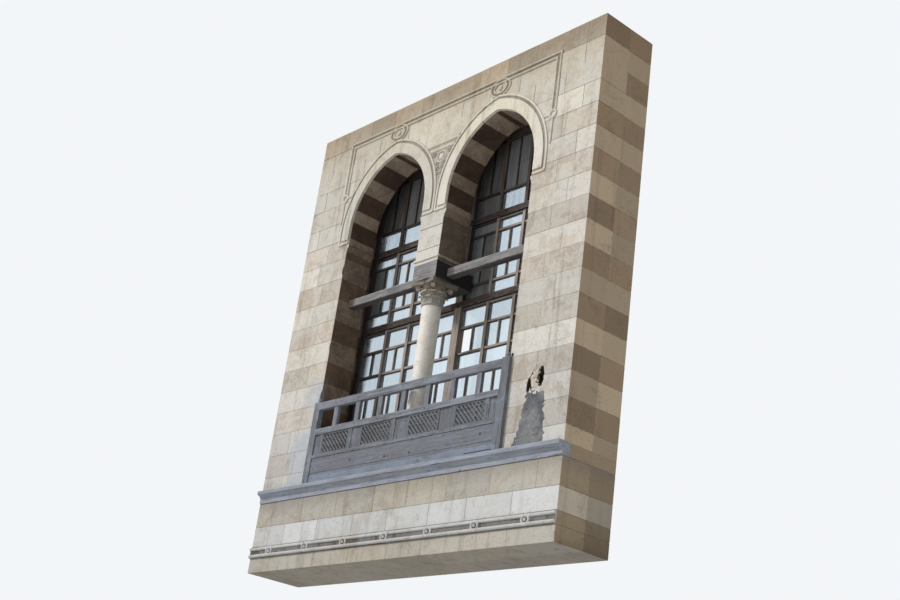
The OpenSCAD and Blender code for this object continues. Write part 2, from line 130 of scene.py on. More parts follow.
class MasonrySizes(bpy.types.PropertyGroup):
    """Joints, arrises and arches of the stonework"""

    joint: bpy.props.FloatProperty(
        name="Joint", description="Width of a mortar joint", default=0.006, min=0.002, max=0.012, unit="LENGTH"
    )
    joint_depth: bpy.props.FloatProperty(
        name="Joint Depth", description="How far the mortar lies back", default=0.0045, min=0.002, max=0.02,
        unit="LENGTH",
    )
    arris: bpy.props.FloatProperty(
        name="Arris", description="Rounding of a stone's worn edges", default=0.004, min=0.002, max=0.012, unit="LENGTH"
    )
    block_length: bpy.props.FloatProperty(
        name="Block Length", description="Usual length of a stone", default=0.56, min=0.4, max=0.9, unit="LENGTH"
    )
    arch_half_width: bpy.props.FloatProperty(
        name="Arch Half Width", description="Half the clear width of an arch", default=0.785, unit="LENGTH"
    )
    arc_offset: bpy.props.FloatProperty(
        name="Arc Offset", description="Distance of an arc's centre beyond the arch's middle", default=0.18,
        unit="LENGTH",
    )
    stilt: bpy.props.FloatProperty(
        name="Stilt", description="Upright part of the arch above its impost", default=0.23, unit="LENGTH"
    )
    ring_thick: bpy.props.FloatProperty(
        name="Ring Thickness", description="Thickness of the voussoirs", default=0.23, unit="LENGTH"
    )
    groove: bpy.props.FloatProperty(
        name="Groove", description="Width of the groove between two rolls", default=0.034, unit="LENGTH"
    )
    set_back: bpy.props.FloatProperty(
        name="Set Back", description="Most that a worn stone's face lies back", default=0.0025, min=0, max=0.01,
        unit="LENGTH",
    )
    ring_front: bpy.props.FloatProperty(
        name="Front Ring Depth", description="Depth of the pale ring in front of the striped one", default=0.02,
        unit="LENGTH",
    )


class TimberSizes(bpy.types.PropertyGroup):
    """Edges of the timber and set of the glass"""

    edge: bpy.props.FloatProperty(
        name="Edge", description="Rounding of a timber's edges", default=0.004, min=0.001, max=0.01, unit="LENGTH"
    )
    lath_edge: bpy.props.FloatProperty(
        name="Lath Edge", description="Rounding of a lath's edges", default=0.0015, min=0.0005, max=0.003, unit="LENGTH"
    )
    pane_tilt: bpy.props.FloatProperty(
        name="Pane Tilt", description="How far old panes sit out of true", default=0.006, min=0, max=0.02,
        unit="ROTATION",
    )
    nail: bpy.props.FloatProperty(
        name="Nail", description="Radius of a nail's head", default=0.008, min=0.004, max=0.012, unit="LENGTH"
    )


class Finishes(bpy.types.PropertyGroup):
    """Colours of stone, timber and glass"""

    light_stone: bpy.props.FloatVectorProperty(
        name="Light Stone", description="Pale courses", subtype="COLOR", default=(0.705, 0.67, 0.60), min=0, max=1
    )
    tan_stone: bpy.props.FloatVectorProperty(
        name="Tan Stone", description="Tan courses", subtype="COLOR", default=(0.60, 0.548, 0.468), min=0, max=1
    )
    dark_stone: bpy.props.FloatVectorProperty(
        name="Dark Stone", description="Dark voussoirs", subtype="COLOR", default=(0.17, 0.105, 0.07), min=0, max=1
    )
    mortar: bpy.props.FloatVectorProperty(
        name="Mortar", description="Mortar in the joints", subtype="COLOR", default=(0.47, 0.42, 0.35), min=0, max=1
    )
    marble: bpy.props.FloatVectorProperty(
        name="Marble", description="Shaft and base", subtype="COLOR", default=(0.80, 0.77, 0.71), min=0, max=1
    )
    ledge_timber: bpy.props.FloatVectorProperty(
        name="Ledge Timber", description="Ledge", subtype="COLOR", default=(0.335, 0.36, 0.42), min=0, max=1
    )
    rail_timber: bpy.props.FloatVectorProperty(
        name="Rail Timber", description="Rails and posts", subtype="COLOR", default=(0.197, 0.207, 0.24), min=0, max=1
    )
    board_timber: bpy.props.FloatVectorProperty(
        name="Board Timber", description="Boards beside the lattice", subtype="COLOR", default=(0.14, 0.15, 0.17),
        min=0, max=1,
    )
    base_timber: bpy.props.FloatVectorProperty(
        name="Base Timber", description="Base board", subtype="COLOR", default=(0.178, 0.20, 0.25), min=0, max=1
    )
    blue_paint: bpy.props.FloatVectorProperty(
        name="Blue Paint", description="Traces of old paint", subtype="COLOR", default=(0.24, 0.31, 0.41), min=0, max=1
    )
    screen_timber: bpy.props.FloatVectorProperty(
        name="Screen Timber", description="Frames of the screen", subtype="COLOR", default=(0.39, 0.335, 0.295),
        min=0, max=1,
    )
    beam_timber: bpy.props.FloatVectorProperty(
        name="Beam Timber", description="Tie bars and pier block", subtype="COLOR", default=(0.26, 0.255, 0.255),
        min=0, max=1,
    )
    pane: bpy.props.FloatVectorProperty(
        name="Pane", description="Old window glass", subtype="COLOR", default=(0.83, 0.945, 1.0), min=0, max=1
    )


class StageSizes(bpy.types.PropertyGroup):
    """Camera and light"""

    lens: bpy.props.FloatProperty(name="Lens", description="Focal length", default=55.0, unit="CAMERA")
    roll: bpy.props.FloatProperty(
        name="Roll", description="Turn of the camera", default=math.radians(8), unit="ROTATION"
    )
    sky: bpy.props.FloatProperty(name="Sky", description="Strength of the even light", default=0.5, min=0, max=1)
    sun: bpy.props.FloatProperty(name="Sun", description="Strength of the soft key lamp", default=2.3, min=0, max=4)


def sizes():
    """The sizes of the masonry."""
    return bpy.context.scene.masonry_sizes


def timber():
    """The sizes of timber and glass."""
    return bpy.context.scene.timber_sizes


def finish():
    """The colours of all finishes."""
    return bpy.context.scene.finishes


# ---- Modelling ----


def edit_mode():
    """Opens the active piece."""
    bpy.ops.object.mode_set(mode="EDIT")


def object_mode():
    """Closes the open piece."""
    bpy.ops.object.mode_set(mode="OBJECT")


def deselect():
    """Deselects everything in the open piece, so that the next primitive is shaped alone."""
    bpy.ops.mesh.select_all(action="DESELECT")


def pick(piece):
    """Selects one object and nothing else, and makes it active."""
    bpy.ops.object.select_all(action="DESELECT")
    bpy.context.view_layer.objects.active = piece
    piece.select_set(True)


def start_piece(name):
    """Adds an empty mesh at the origin and opens it in edit mode."""
    bpy.ops.object.select_all(action="DESELECT")
    bpy.ops.mesh.primitive_cube_add(size=1, location=(0, 0, 0))
    piece = bpy.context.object
    piece.name = piece.data.name = name
    edit_mode()
    bpy.ops.mesh.select_mode(type="FACE")
    bpy.ops.mesh.delete(type="VERT")
    return piece


def add_block(x0, x1, y0, y1, z0, z1):
    """Adds one block between two corners to the piece that is open."""
    bpy.ops.mesh.primitive_cube_add(
        size=1,
        location=((x0 + x1) / 2, (y0 + y1) / 2, (z0 + z1) / 2),
        scale=(abs(x1 - x0), abs(y1 - y0), abs(z1 - z0)),
    )


def add_ball(place, scale, segments, rings):
    """Adds one ball, stretched along the axes, to the piece that is open."""
    deselect()
    bpy.ops.mesh.primitive_uv_sphere_add(segments=segments, ring_count=rings, radius=1, location=place, scale=scale)


def add_stone(x0, x1, y0, y1, z0, z1):
    """Adds one stone. Each side gives half a joint, except where it lies in a finished plane."""
    half = sizes().joint / 2
    ends = []
    for low, high in ((x0, x1), (y0, y1), (z0, z1)):
        low, high = min(low, high), max(low, high)
        gap_low, gap_high = (0 if any(abs(abs(end) - abs(p)) < 1e-5 for p in FLUSH) else half for end in (low, high))
        ends += [low + gap_low, high - gap_high]
    if abs(y0 - FACE) < 1e-5:
        ends[2] += random.Random(round(x0 * 911 + z0 * 5003)).random() ** 2 * sizes().set_back
    add_block(*ends)


def lay_course(edges, y0, y1, z0, z1, side=1):
    """Adds the stones of one course, one between each two edges."""
    for x0, x1 in zip(edges, edges[1:]):
        add_stone(side * x0, side * x1, y0, y1, z0, z1)


def close_piece():
    """Makes the faces of the open piece point outwards and leaves edit mode."""
    bpy.ops.mesh.select_all(action="SELECT")
    bpy.ops.mesh.normals_make_consistent(inside=False)
    object_mode()


def apply_modifier(piece, kind, **settings):
    """Adds a modifier with these settings and applies it."""
    pick(piece)
    modifier = piece.modifiers.new(kind.title(), kind)
    for key, value in settings.items():
        setattr(modifier, key, value)
    bpy.ops.object.modifier_apply(modifier=modifier.name)


def round_edges(piece, width, segments=2, angle=32):
    """Rounds every edge sharper than the angle."""
    apply_modifier(
        piece, "BEVEL", width=width, segments=segments, limit_method="ANGLE", angle_limit=math.radians(angle)
    )


def cut_away(piece, cutter, **settings):
    """Cuts a solid out of a piece and deletes it."""
    apply_modifier(piece, "BOOLEAN", operation="DIFFERENCE", solver="EXACT", object=cutter, **settings)
    remove(cutter)


def read_all(items, key, kind=np.float32, width=1):
    """One property of all vertices, edges, loops or faces as an array."""
    values = np.empty(len(items) * width, kind)
    items.foreach_get(key, values)
    return values.reshape(-1, width) if width > 1 else values


def face_centres(piece):
    """The middle of each face."""
    return read_all(piece.data.polygons, "center", width=3)


def face_normals(piece):
    """The direction of each face."""
    return read_all(piece.data.polygons, "normal", width=3)


def islands(mesh):
    """The number of the loose part that each face belongs to."""
    a, b = read_all(mesh.edges, "vertices", np.int32, 2).T
    label = np.arange(len(mesh.vertices))
    while True:
        low = np.minimum(label[a], label[b])
        new = label.copy()
        np.minimum.at(new, a, low)
        np.minimum.at(new, b, low)
        new = new[new]
        if (new == label).all():
            break
        label = new
    loops = read_all(mesh.loops, "vertex_index", np.int32)
    starts = read_all(mesh.polygons, "loop_start", np.int32)
    return np.unique(label[loops[starts]], return_inverse=True)[1]


def select_faces(mesh, chosen):
    """Selects these faces with their corners and edges, and nothing else. The piece is in object mode."""
    mesh.polygons.foreach_set("select", chosen)
    loops = read_all(mesh.loops, "vertex_index", np.int32)
    counts = read_all(mesh.polygons, "loop_total", np.int32)
    corners = np.zeros(len(mesh.vertices), bool)
    corners[loops[np.repeat(chosen, counts)]] = True
    mesh.vertices.foreach_set("select", corners)
    mesh.edges.foreach_set("select", corners[read_all(mesh.edges, "vertices", np.int32, 2)].all(axis=1))


def part_centres(mesh, parts):
    """The middle and the size of each loose part's box, by part."""
    centres = read_all(mesh.polygons, "center", width=3)
    count = parts.max() + 1
    low, high = np.full((count, 3), 1e9), np.full((count, 3), -1e9)
    np.minimum.at(low, parts, centres)
    np.maximum.at(high, parts, centres)
    return (low + high) / 2, high - low


def mark_faces(piece, name, values):
    """Stores one number for each face, for the materials to read."""
    mesh = piece.data
    layer = mesh.attributes.get(name) or mesh.attributes.new(name, "FLOAT", "FACE")
    layer.data.foreach_set("value", np.broadcast_to(np.asarray(values, np.float32), len(mesh.polygons)).copy())


def weathering_and_shade(centres):
    """How pale each face's sun-bleached skin is, and how far it is blackened. The brown kept on the ends and the dark
    of reveals and soffits are partly painted shade.
    """
    x, y, z = np.abs(centres[:, 0]), centres[:, 1], centres[:, 2]
    front, end, back = y < FACE + WORN_BACK, x > HALF_W - IN_PLANE, y > WALL_BACK - IN_PLANE
    level = (z > TOP - IN_PLANE) | (z < IN_PLANE)
    bleach = np.select([front, end, back, level], [1.0, 0.1, 0.6, 0.7], 0.0)
    return bleach, np.where(front | end | back | level, 0.0, 1.0)


def mark_wear(piece, seed, width, bleach=None, soot=None):
    """Marks each part's own tone, its rounded edges, and how far sun-bleaching, blackening and painted shade have
    changed each face.
    """
    mesh = piece.data
    parts = islands(mesh)
    tone = np.random.default_rng(seed).random(parts.max() + 1)
    mark_faces(piece, "tone", tone[parts])
    areas = read_all(mesh.polygons, "area")
    spots = read_all(mesh.vertices, "co", width=3)
    lengths = np.linalg.norm(np.diff(spots[read_all(mesh.edges, "vertices", np.int32, 2)], axis=1)[:, 0], axis=1)
    sides = lengths[read_all(mesh.loops, "edge_index", np.int32)]
    starts = read_all(mesh.polygons, "loop_start", np.int32)
    shortest = np.minimum.reduceat(sides, starts)
    longest = np.maximum.reduceat(sides, starts)
    narrow = areas / np.maximum(longest, 1e-6) < width * 1.2
    mark_faces(piece, "edge", narrow & (shortest < width * 1.2))
    open_air, dark = weathering_and_shade(face_centres(piece))
    mark_faces(piece, "bleach", open_air if bleach is None else bleach)
    mark_faces(piece, "soot", dark if soot is None else soot)


def first_material(middle, span):
    """Every loose part takes the first material."""
    return 0


def paint_parts(piece, materials, choose=first_material):
    """Gives the piece its materials. choose says which one a loose part takes, from its middle and its size."""
    mesh = piece.data
    mesh.materials.clear()
    for material in materials:
        mesh.materials.append(material)
    parts = islands(mesh)
    middles, spans = part_centres(mesh, parts)
    chosen = np.array([choose(m, s) for m, s in zip(middles, spans)], np.int32)
    mesh.polygons.foreach_set("material_index", chosen[parts])
    mesh.update()


def carry(piece, slot, *nodes):
    """The piece rides on the bay and stands for CAD nodes; the slot is not used."""
    piece.location = (0, 0, 0)
    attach(piece, "root")
    if nodes:
        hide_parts(*nodes)


def finish_piece(piece, slot, material, seed, width, *nodes, bleach=None, soot=None, soil=None):
    """Marks the wear, and the grime with painted shade, of a piece of one material, paints it and carries it."""
    mark_wear(piece, seed, width, bleach, soot)
    if soil is not None:
        mark_faces(piece, "soil", soil)
    paint_parts(piece, [material])
    carry(piece, slot, *nodes)


def copy_node(node, name, flat_angle=1.0):
    """A copy of a CAD node's mesh, with its loose triangles merged and its flat faces made whole."""
    piece = bpy.data.objects.new(name, frame["nodes"][node].data.copy())
    piece.data.name = name
    bpy.context.scene.collection.objects.link(piece)
    pick(piece)
    if piece.data.attributes.get("custom_normal"):
        bpy.ops.mesh.customdata_custom_splitnormals_clear()
    edit_mode()
    bpy.ops.mesh.select_all(action="SELECT")
    bpy.ops.mesh.remove_doubles(threshold=0.00002)
    bpy.ops.mesh.dissolve_limited(angle_limit=math.radians(flat_angle))
    object_mode()
    return piece


def copy_stone(node):
    """A slightly rounded and smoothly shaded copy of a turned or moulded stone node."""
    piece = copy_node(node, node + "_stone", 0.3)
    round_edges(piece, 0.002, 1, 50)
    bpy.ops.object.shade_smooth_by_angle(angle=math.radians(35))
    return piece


def join(copies, name):
    """Joins objects to one piece of this name."""
    pick(copies[0])
    for made in copies:
        made.select_set(True)
    bpy.ops.object.join()
    piece = bpy.context.object
    piece.name = piece.data.name = name
    return piece


def scatter(model, spots, name, turns=None, scales=None):
    """Copies a small shape to many places and joins the copies to one piece."""
    copies = []
    for i, spot in enumerate(spots):
        pick(model)
        bpy.ops.object.duplicate()
        made = bpy.context.object
        made.location = spot
        made.rotation_euler = turns[i] if turns else (0, 0, 0)
        made.scale = scales[i] if scales else (1, 1, 1)
        copies.append(made)
    remove(model)
    piece = join(copies, name)
    bpy.ops.object.transform_apply(location=True, rotation=True, scale=True)
    edit_mode()
    close_piece()
    return piece


def remove(piece):
    """Deletes a helper object and its mesh."""
    mesh = piece.data
    bpy.data.objects.remove(piece)
    bpy.data.meshes.remove(mesh)


def bed(k):
    """Height of the bed joint under course k."""
    return TOP - (COURSES - k) * COURSE


def course_of(z):
    """The course that a height lies in."""
    return math.floor((z - bed(0)) / COURSE)


def split(low, high, length, shift, rng):
    """Edges of the stones along one course: near the usual length, and shifted from course to course."""
    count = max(1, round((high - low) / length))
    step = (high - low) / count
    edges = [low + (i + shift) * step for i in range(0 if shift > 0.1 else 1, count)]
    inner = [e + rng.uniform(-0.09, 0.09) * step for e in edges if low + 0.3 * step < e < high - 0.3 * step]
    return [low, *inner, high]


# ---- Materials ----


class Bench:
    """A node tree with short ways to add nodes and wire them."""

    def __init__(self, tree):
        self.tree = tree

    def wire(self, socket, value):
        """Feeds a socket from another node, or sets it."""
        if isinstance(value, bpy.types.NodeSocket):
            self.tree.links.new(value, socket)
        else:
            socket.default_value = value

    def node(self, kind, inputs=None, **settings):
        """Adds one node with its settings and its inputs."""
        made = self.tree.nodes.new("ShaderNode" + kind)
        for key, value in settings.items():
            setattr(made, key, value)
        for key, value in (inputs or {}).items():
            self.wire(made.inputs[key], value)
        return made

    def calc(self, operation, a, b=0.0, clamp=False):
        """One step of arithmetic."""
        return self.node("Math", {0: a, 1: b}, operation=operation, use_clamp=clamp).outputs[0]

    def times(self, a, b, clamp=False):
        """a times b."""
        return self.calc("MULTIPLY", a, b, clamp)

    def plus(self, a, b, clamp=False):
        """a plus b."""
        return self.calc("ADD", a, b, clamp)

    def minus(self, a, b):
        """a minus b."""
        return self.calc("SUBTRACT", a, b)

    def axis(self, vector, number):
        """One component of a vector: 0 runs along the wall, 1 into it and 2 upwards."""
        return self.node("SeparateXYZ", {0: vector}).outputs[number]

    def span(self, value, low, high, to_low=0.0, to_high=1.0):
        """Maps a value's range smoothly to another."""
        inputs = {"Value": value, "From Min": low, "From Max": high, "To Min": to_low, "To Max": to_high}
        return self.node("MapRange", inputs, interpolation_type="SMOOTHSTEP").outputs[0]

    def mix(self, factor, a, b, blend="MIX"):
        """Mixes two colours."""
        made = self.node("Mix", data_type="RGBA", blend_type=blend, clamp_factor=True)
        self.wire(made.inputs[0], factor)
        self.wire(made.inputs[6], a)
        self.wire(made.inputs[7], b)
        return made.outputs[2]

    def noise(self, coordinates, scale, detail=4.0, roughness=0.55, distortion=0.0):
        """Cloudy noise from 0 to 1."""
        inputs = {
            "Vector": coordinates, "Scale": scale, "Detail": detail, "Roughness": roughness, "Distortion": distortion,
        }
        return self.node("TexNoise", inputs).outputs[0]

    def stretch(self, coordinates, scale):
        """Coordinates stretched along each axis."""
        return self.node("Mapping", {"Vector": coordinates, "Scale": scale}, vector_type="POINT").outputs[0]

    def read(self, name):
        """A number stored on the faces."""
        return self.node("Attribute", attribute_name=name).outputs["Fac"]


def rgba(colour, level=1.0):
    """A colour with alpha, made lighter or darker."""
    return (*[min(1.0, c * level) for c in colour], 1.0)


def new_group(name, inputs, outputs):
    """A shader node group with these sockets. Returns its bench and its two end nodes."""
    tree = bpy.data.node_groups.new(name, "ShaderNodeTree")
    for label, kind, default in inputs:
        socket = tree.interface.new_socket(label, in_out="INPUT", socket_type="NodeSocket" + kind)
        if default is not None:
            socket.default_value = default
    for label, kind in outputs:
        tree.interface.new_socket(label, in_out="OUTPUT", socket_type="NodeSocket" + kind)
    return Bench(tree), tree.nodes.new("NodeGroupInput").outputs, tree.nodes.new("NodeGroupOutput").inputs


def stone_weathering():
    """Mottling, pits and run-off streaks of old limestone."""
    known = bpy.data.node_groups.get("Stone Weathering")
    if known:
        return known
    bench, given, out = new_group(
        "Stone Weathering",
        [("Coordinates", "Vector", None), ("Pit Size", "Float", 0.012), ("Streaking", "Float", 0.5)],
        [("Mottle", "Float"), ("Grain", "Float"), ("Stain", "Float"), ("Height", "Float")],
    )
    place = given["Coordinates"]
    broad = bench.noise(place, 1.3, 4, 0.55, 0.5)
    patches = bench.noise(place, 4.6, 7, 0.66, 0.7)
    fine = bench.noise(place, 26.0, 5, 0.68, 0.2)
    grain = bench.noise(place, 120.0, 3, 0.7)
    pits = bench.node(
        "TexVoronoi", {"Vector": place, "Scale": bench.calc("DIVIDE", 1.0, given["Pit Size"])}, feature="F1"
    ).outputs[0]
    pit_here = bench.times(bench.span(pits, 0.34, 0.12), bench.span(patches, 0.5, 0.6))
    clouded = 0.0
    for part, weight in ((broad, 0.5), (patches, 0.9), (fine, 0.6)):
        clouded = bench.plus(clouded, bench.times(bench.minus(part, 0.5), weight))
    bench.wire(out["Mottle"], bench.plus(clouded, 0.5, clamp=True))
    bench.wire(out["Grain"], grain)
    runs = bench.noise(bench.stretch(place, (7.0, 7.0, 0.5)), 1.0, 5, 0.6, 0.25)
    streak = bench.times(bench.span(runs, 0.53, 0.68), given["Streaking"])
    blots = bench.noise(place, 3.1, 7, 0.7, 0.9)
    blot = bench.times(bench.span(blots, 0.53, 0.66), bench.span(fine, 0.40, 0.56))
    darkened = bench.plus(streak, bench.times(blot, 0.8), clamp=True)
    bench.wire(out["Stain"], bench.plus(darkened, bench.times(pit_here, 0.7), clamp=True))
    relief = bench.plus(bench.times(patches, 2.0), bench.times(fine, 0.7))
    relief = bench.plus(relief, bench.times(grain, 0.14))
    bench.wire(out["Height"], bench.minus(relief, bench.times(pit_here, 0.5)))
    return bench.tree


def timber_grain():
    """Fibres, growth bands and drying cracks that run along each member."""
    known = bpy.data.node_groups.get("Timber Grain")
    if known:
        return known
    bench, given, out = new_group(
        "Timber Grain",
        [("Coordinates", "Vector", None), ("Upright", "Float", 0.0), ("Tone", "Float", 0.5)],
        [("Bands", "Float"), ("Fibre", "Float"), ("Cracks", "Float"), ("Height", "Float")],
    )
    lying = bench.stretch(given["Coordinates"], (1.0, 15.0, 15.0))
    standing = bench.stretch(given["Coordinates"], (15.0, 15.0, 1.0))
    turned = bench.node("Mix", data_type="VECTOR")
    bench.wire(turned.inputs[0], given["Upright"])
    bench.wire(turned.inputs[4], lying)
    bench.wire(turned.inputs[5], standing)
    shifted = bench.node("VectorMath", {0: turned.outputs[1]}, operation="ADD")
    own = bench.node("CombineXYZ", {0: bench.times(given["Tone"], 37.0), 1: given["Tone"]}).outputs[0]
    bench.wire(shifted.inputs[1], own)
    along = shifted.outputs[0]
    bands = bench.noise(along, 1.6, 4, 0.55, 1.2)
    fibre = bench.noise(along, 11.0, 6, 0.7, 0.2)
    cracks = bench.span(bench.noise(along, 3.4, 3, 0.5, 0.6), 0.665, 0.70)
    bench.wire(out["Bands"], bands)
    bench.wire(out["Fibre"], fibre)
    bench.wire(out["Cracks"], cracks)
    raised = bench.plus(bench.times(fibre, 0.6), bench.times(bands, 0.35))
    bench.wire(out["Height"], bench.minus(raised, cracks))
    return bench.tree


def settled_dust():
    """Where dust lies: on faces that look up, thicker in some places."""
    known = bpy.data.node_groups.get("Settled Dust")
    if known:
        return known
    bench, given, out = new_group(
        "Settled Dust", [("Coordinates", "Vector", None), ("Amount", "Float", 0.5)], [("Mask", "Float")]
    )
    upward = bench.axis(bench.node("NewGeometry").outputs["Normal"], 2)
    cloud = bench.noise(given["Coordinates"], 7.0, 5, 0.6)
    lying = bench.times(bench.span(upward, 0.35, 0.95), bench.span(cloud, 0.25, 0.6))
    bench.wire(out["Mask"], bench.times(lying, given["Amount"], clamp=True))
    return bench.tree


def jamb_wash():
    """Where blue-grey wash ran down the left jamb's face: solid beside the balustrade, thin above it."""
    known = bpy.data.node_groups.get("Jamb Wash")
    if known:
        return known
    bench, given, out = new_group("Jamb Wash", [("Coordinates", "Vector", None)], [("Mask", "Float")])
    along, depth, height = bench.node("SeparateXYZ", {0: given["Coordinates"]}).outputs
    ragged = bench.times(bench.minus(bench.noise(given["Coordinates"], 9.0, 6, 0.7), 0.5), 0.55)
    across = bench.plus(along, ragged)
    level = bench.plus(height, ragged)
    solid_edge, thin_edge = (-2.31, -2.24), (-2.24, -2.08)
    solid_top, thin_foot, thin_top = (1.93, 1.78), (2.12, 2.26), (2.66, 2.50)
    solid = bench.times(bench.span(across, *solid_edge), bench.span(level, *solid_top, 0.0, 0.8))
    above = bench.times(bench.span(level, *thin_foot), bench.span(level, *thin_top, 0.0, 0.6))
    thin = bench.times(bench.span(across, *thin_edge), above)
    on_face = bench.times(bench.span(along, -1.81, -1.83), bench.span(depth, -0.30, -0.34))
    patches = bench.times(bench.calc("MAXIMUM", solid, thin), on_face)
    bench.wire(out["Mask"], bench.times(patches, bench.span(height, 0.96, 0.98), clamp=True))
    return bench.tree


def edge_wear():
    """Where the arrises are rubbed or chipped."""
    known = bpy.data.node_groups.get("Edge Wear")
    if known:
        return known
    bench, given, out = new_group(
        "Edge Wear",
        [("Coordinates", "Vector", None), ("Edge", "Float", 0.0), ("Amount", "Float", 0.6)],
        [("Mask", "Float")],
    )
    broken = bench.span(bench.noise(given["Coordinates"], 17.0, 5, 0.65), 0.36, 0.62)
    rubbed = bench.times(given["Edge"], broken)
    bench.wire(out["Mask"], bench.times(rubbed, given["Amount"], clamp=True))
    return bench.tree


def new_material(name):
    """An empty material. Returns it with its bench, its Principled shader and its Object coordinates."""
    material = bpy.data.materials.new(name)
    material.use_nodes = True
    bench = Bench(material.node_tree)
    shader = material.node_tree.nodes["Principled BSDF"]
    place = bench.node("TexCoord").outputs["Object"]
    return material, bench, shader, place


def place_group(bench, tree, **inputs):
    """Places a node group and feeds its inputs."""
    made = bench.node("Group", node_tree=tree)
    for key, value in inputs.items():
        bench.wire(made.inputs[key.replace("_", " ")], value)
    return made.outputs


def bump(bench, shader, height, distance):
    """Turns a height into the shader's normal."""
    made = bench.node("Bump", {"Height": height, "Distance": distance, "Strength": 1.0})
    bench.wire(shader.inputs["Normal"], made.outputs[0])


def stone_material(name, bleached, raw, sooty_and_shaded, streaks=0.5, relief=0.008, wash=False):
    """Weathered stone. The sun has bleached what faces it, ends keep their brown, and reveals are blackened; the ends'
    brown and the reveals' dark are partly painted shade.
    """
    known = bpy.data.materials.get(name)
    if known:
        return known
    material, bench, shader, place = new_material(name)
    tone = bench.read("tone")
    hue = bench.calc("FRACT", bench.times(tone, 7.3))
    worn = place_group(bench, stone_weathering(), Coordinates=place, Pit_Size=0.03, Streaking=streaks)
    rubbed = place_group(bench, edge_wear(), Coordinates=place, Edge=bench.read("edge"), Amount=0.35)["Mask"]
    dust = place_group(bench, settled_dust(), Coordinates=place, Amount=0.45)["Mask"]
    height = bench.axis(place, 2)
    brown = bench.mix(tone, rgba(raw, 0.75), rgba(raw, 1.2))
    pale = bench.mix(tone, rgba(bleached, 0.84), rgba(bleached, 1.07))
    cooled = bench.mix(bench.span(height, *COOL_SPAN, 1.0, 0.0), pale, (0.86, 0.90, 0.98, 1), "MULTIPLY")
    # The warmer tint up under the eave is partly patina and partly painted warm shade.
    warmed = bench.mix(bench.span(height, *WARM_SPAN), cooled, (1.0, 0.975, 0.885, 1), "MULTIPLY")
    greyed = bench.mix(bench.times(hue, 0.4), warmed, rgba((0.47, 0.455, 0.43)))
    washed = bench.span(height, *SHELTER_SPAN, 1.0, 0.4)
    whole = bench.span(worn["Mottle"], 0.36, 0.54, 0.62, 1.0)
    skin = bench.times(bench.read("bleach"), bench.times(washed, whole))
    surface = bench.mix(skin, brown, greyed)
    # The blackened faces take dark colours: patina together with painted shade in the reveals, soffits and other faces
    # turned from the front.
    black = bench.mix(bench.span(worn["Mottle"], 0.35, 0.65), rgba(sooty_and_shaded, 0.72), rgba(sooty_and_shaded, 1.25))
    sooted_and_shaded = bench.mix(bench.read("soot"), surface, black)
    stained = bench.mix(bench.times(worn["Stain"], 0.5), sooted_and_shaded, rgba(raw, 0.5))
    # A darker band under the ledge: painted shade.
    under_ledge = bench.times(bench.span(height, 0.70, 0.935), bench.span(height, 0.96, 0.945))
    ledge_shade_and_wash = bench.mix(bench.times(under_ledge, 0.4), stained, rgba((0.17, 0.155, 0.14)))
    if wash:
        covered = place_group(bench, jamb_wash(), Coordinates=place)["Mask"]
        ledge_shade_and_wash = bench.mix(covered, ledge_shade_and_wash, bench.mix(worn["Mottle"], (0.30, 0.33, 0.37, 1), (0.56, 0.585, 0.61, 1)))
    specks = bench.node("CombineXYZ", {i: worn["Grain"] for i in range(3)}).outputs[0]
    speckled = bench.mix(0.3, ledge_shade_and_wash, specks, "OVERLAY")
    edged = bench.mix(rubbed, speckled, rgba(bleached, 0.95))
    film_over = bench.mix(dust, edged, rgba((0.50, 0.46, 0.40)))
    # Faces marked with grime turn darker still: grime in the hollows together with painted shade in slots, grooves and
    # carving and on shaded sides.
    hollow_grime_and_shade = bench.times(bench.read("soil"), bench.span(worn["Mottle"], 0.36, 0.56, 0.96, 0.76))
    bench.wire(shader.inputs["Base Color"], bench.mix(hollow_grime_and_shade, film_over, rgba((0.075, 0.06, 0.046))))
    bench.wire(shader.inputs["Roughness"], bench.span(worn["Grain"], 0.2, 0.8, 0.78, 0.94))
    shader.inputs["Specular IOR Level"].default_value = 0.25
    bump(bench, shader, worn["Height"], relief)
    return material


def stone(kind):
    """One of the bay's stones: its bleached skin, its raw brown and its blackened colour, then its streaks, relief and
    wash.
    """
    own = finish()
    name, *values = {
        # The raw brown that the ends keep and the blackened colour of reveals and soffits are partly painted shade, as
        # are the capital's darker skin and the groove linings' dark.
        "light": ("light_limestone", own.light_stone, (0.42, 0.32, 0.21), (0.20, 0.15, 0.11), 0.5, 0.008, True),
        "tan": ("tan_limestone", own.tan_stone, (0.27, 0.185, 0.11), (0.125, 0.083, 0.055), 0.5, 0.008, True),
        # Below the ledge the pale course is washed nearly white, and the tan ones keep an olive skin.
        "washed": ("apron_light_limestone", (0.73, 0.71, 0.655), (0.46, 0.40, 0.31), (0.20, 0.15, 0.11)),
        "olive": ("apron_tan_limestone", (0.50, 0.445, 0.345), (0.29, 0.22, 0.14), (0.125, 0.083, 0.055)),
        "ring": ("cream_ring_stone", (0.71, 0.67, 0.585), (0.50, 0.41, 0.30), (0.30, 0.25, 0.19), 0.75),
        "tan voussoir": ("tan_voussoir", (0.40, 0.32, 0.245), (0.34, 0.25, 0.18), (0.285, 0.22, 0.165), 0.2),
        "dark voussoir": ("dark_voussoir", own.dark_stone, (0.12, 0.075, 0.05), (0.072, 0.045, 0.032), 0.2),
        "mortar": ("joint_mortar", own.mortar, (0.25, 0.19, 0.13), (0.12, 0.09, 0.065), 0.5, 0.004),
        "capital": ("capital_stone", (0.56, 0.525, 0.465), (0.33, 0.28, 0.22), (0.14, 0.12, 0.10), 0.4, 0.004),
        "groove": ("groove_soil", (0.35, 0.315, 0.265), (0.12, 0.10, 0.08), (0.10, 0.085, 0.065), 0.9, 0.004),
        "cement": ("grey_cement", (0.30, 0.29, 0.275), (0.10, 0.105, 0.12), (0.10, 0.10, 0.105), 0.6, 0.02),
    }[kind]
    return stone_material(name, *values)


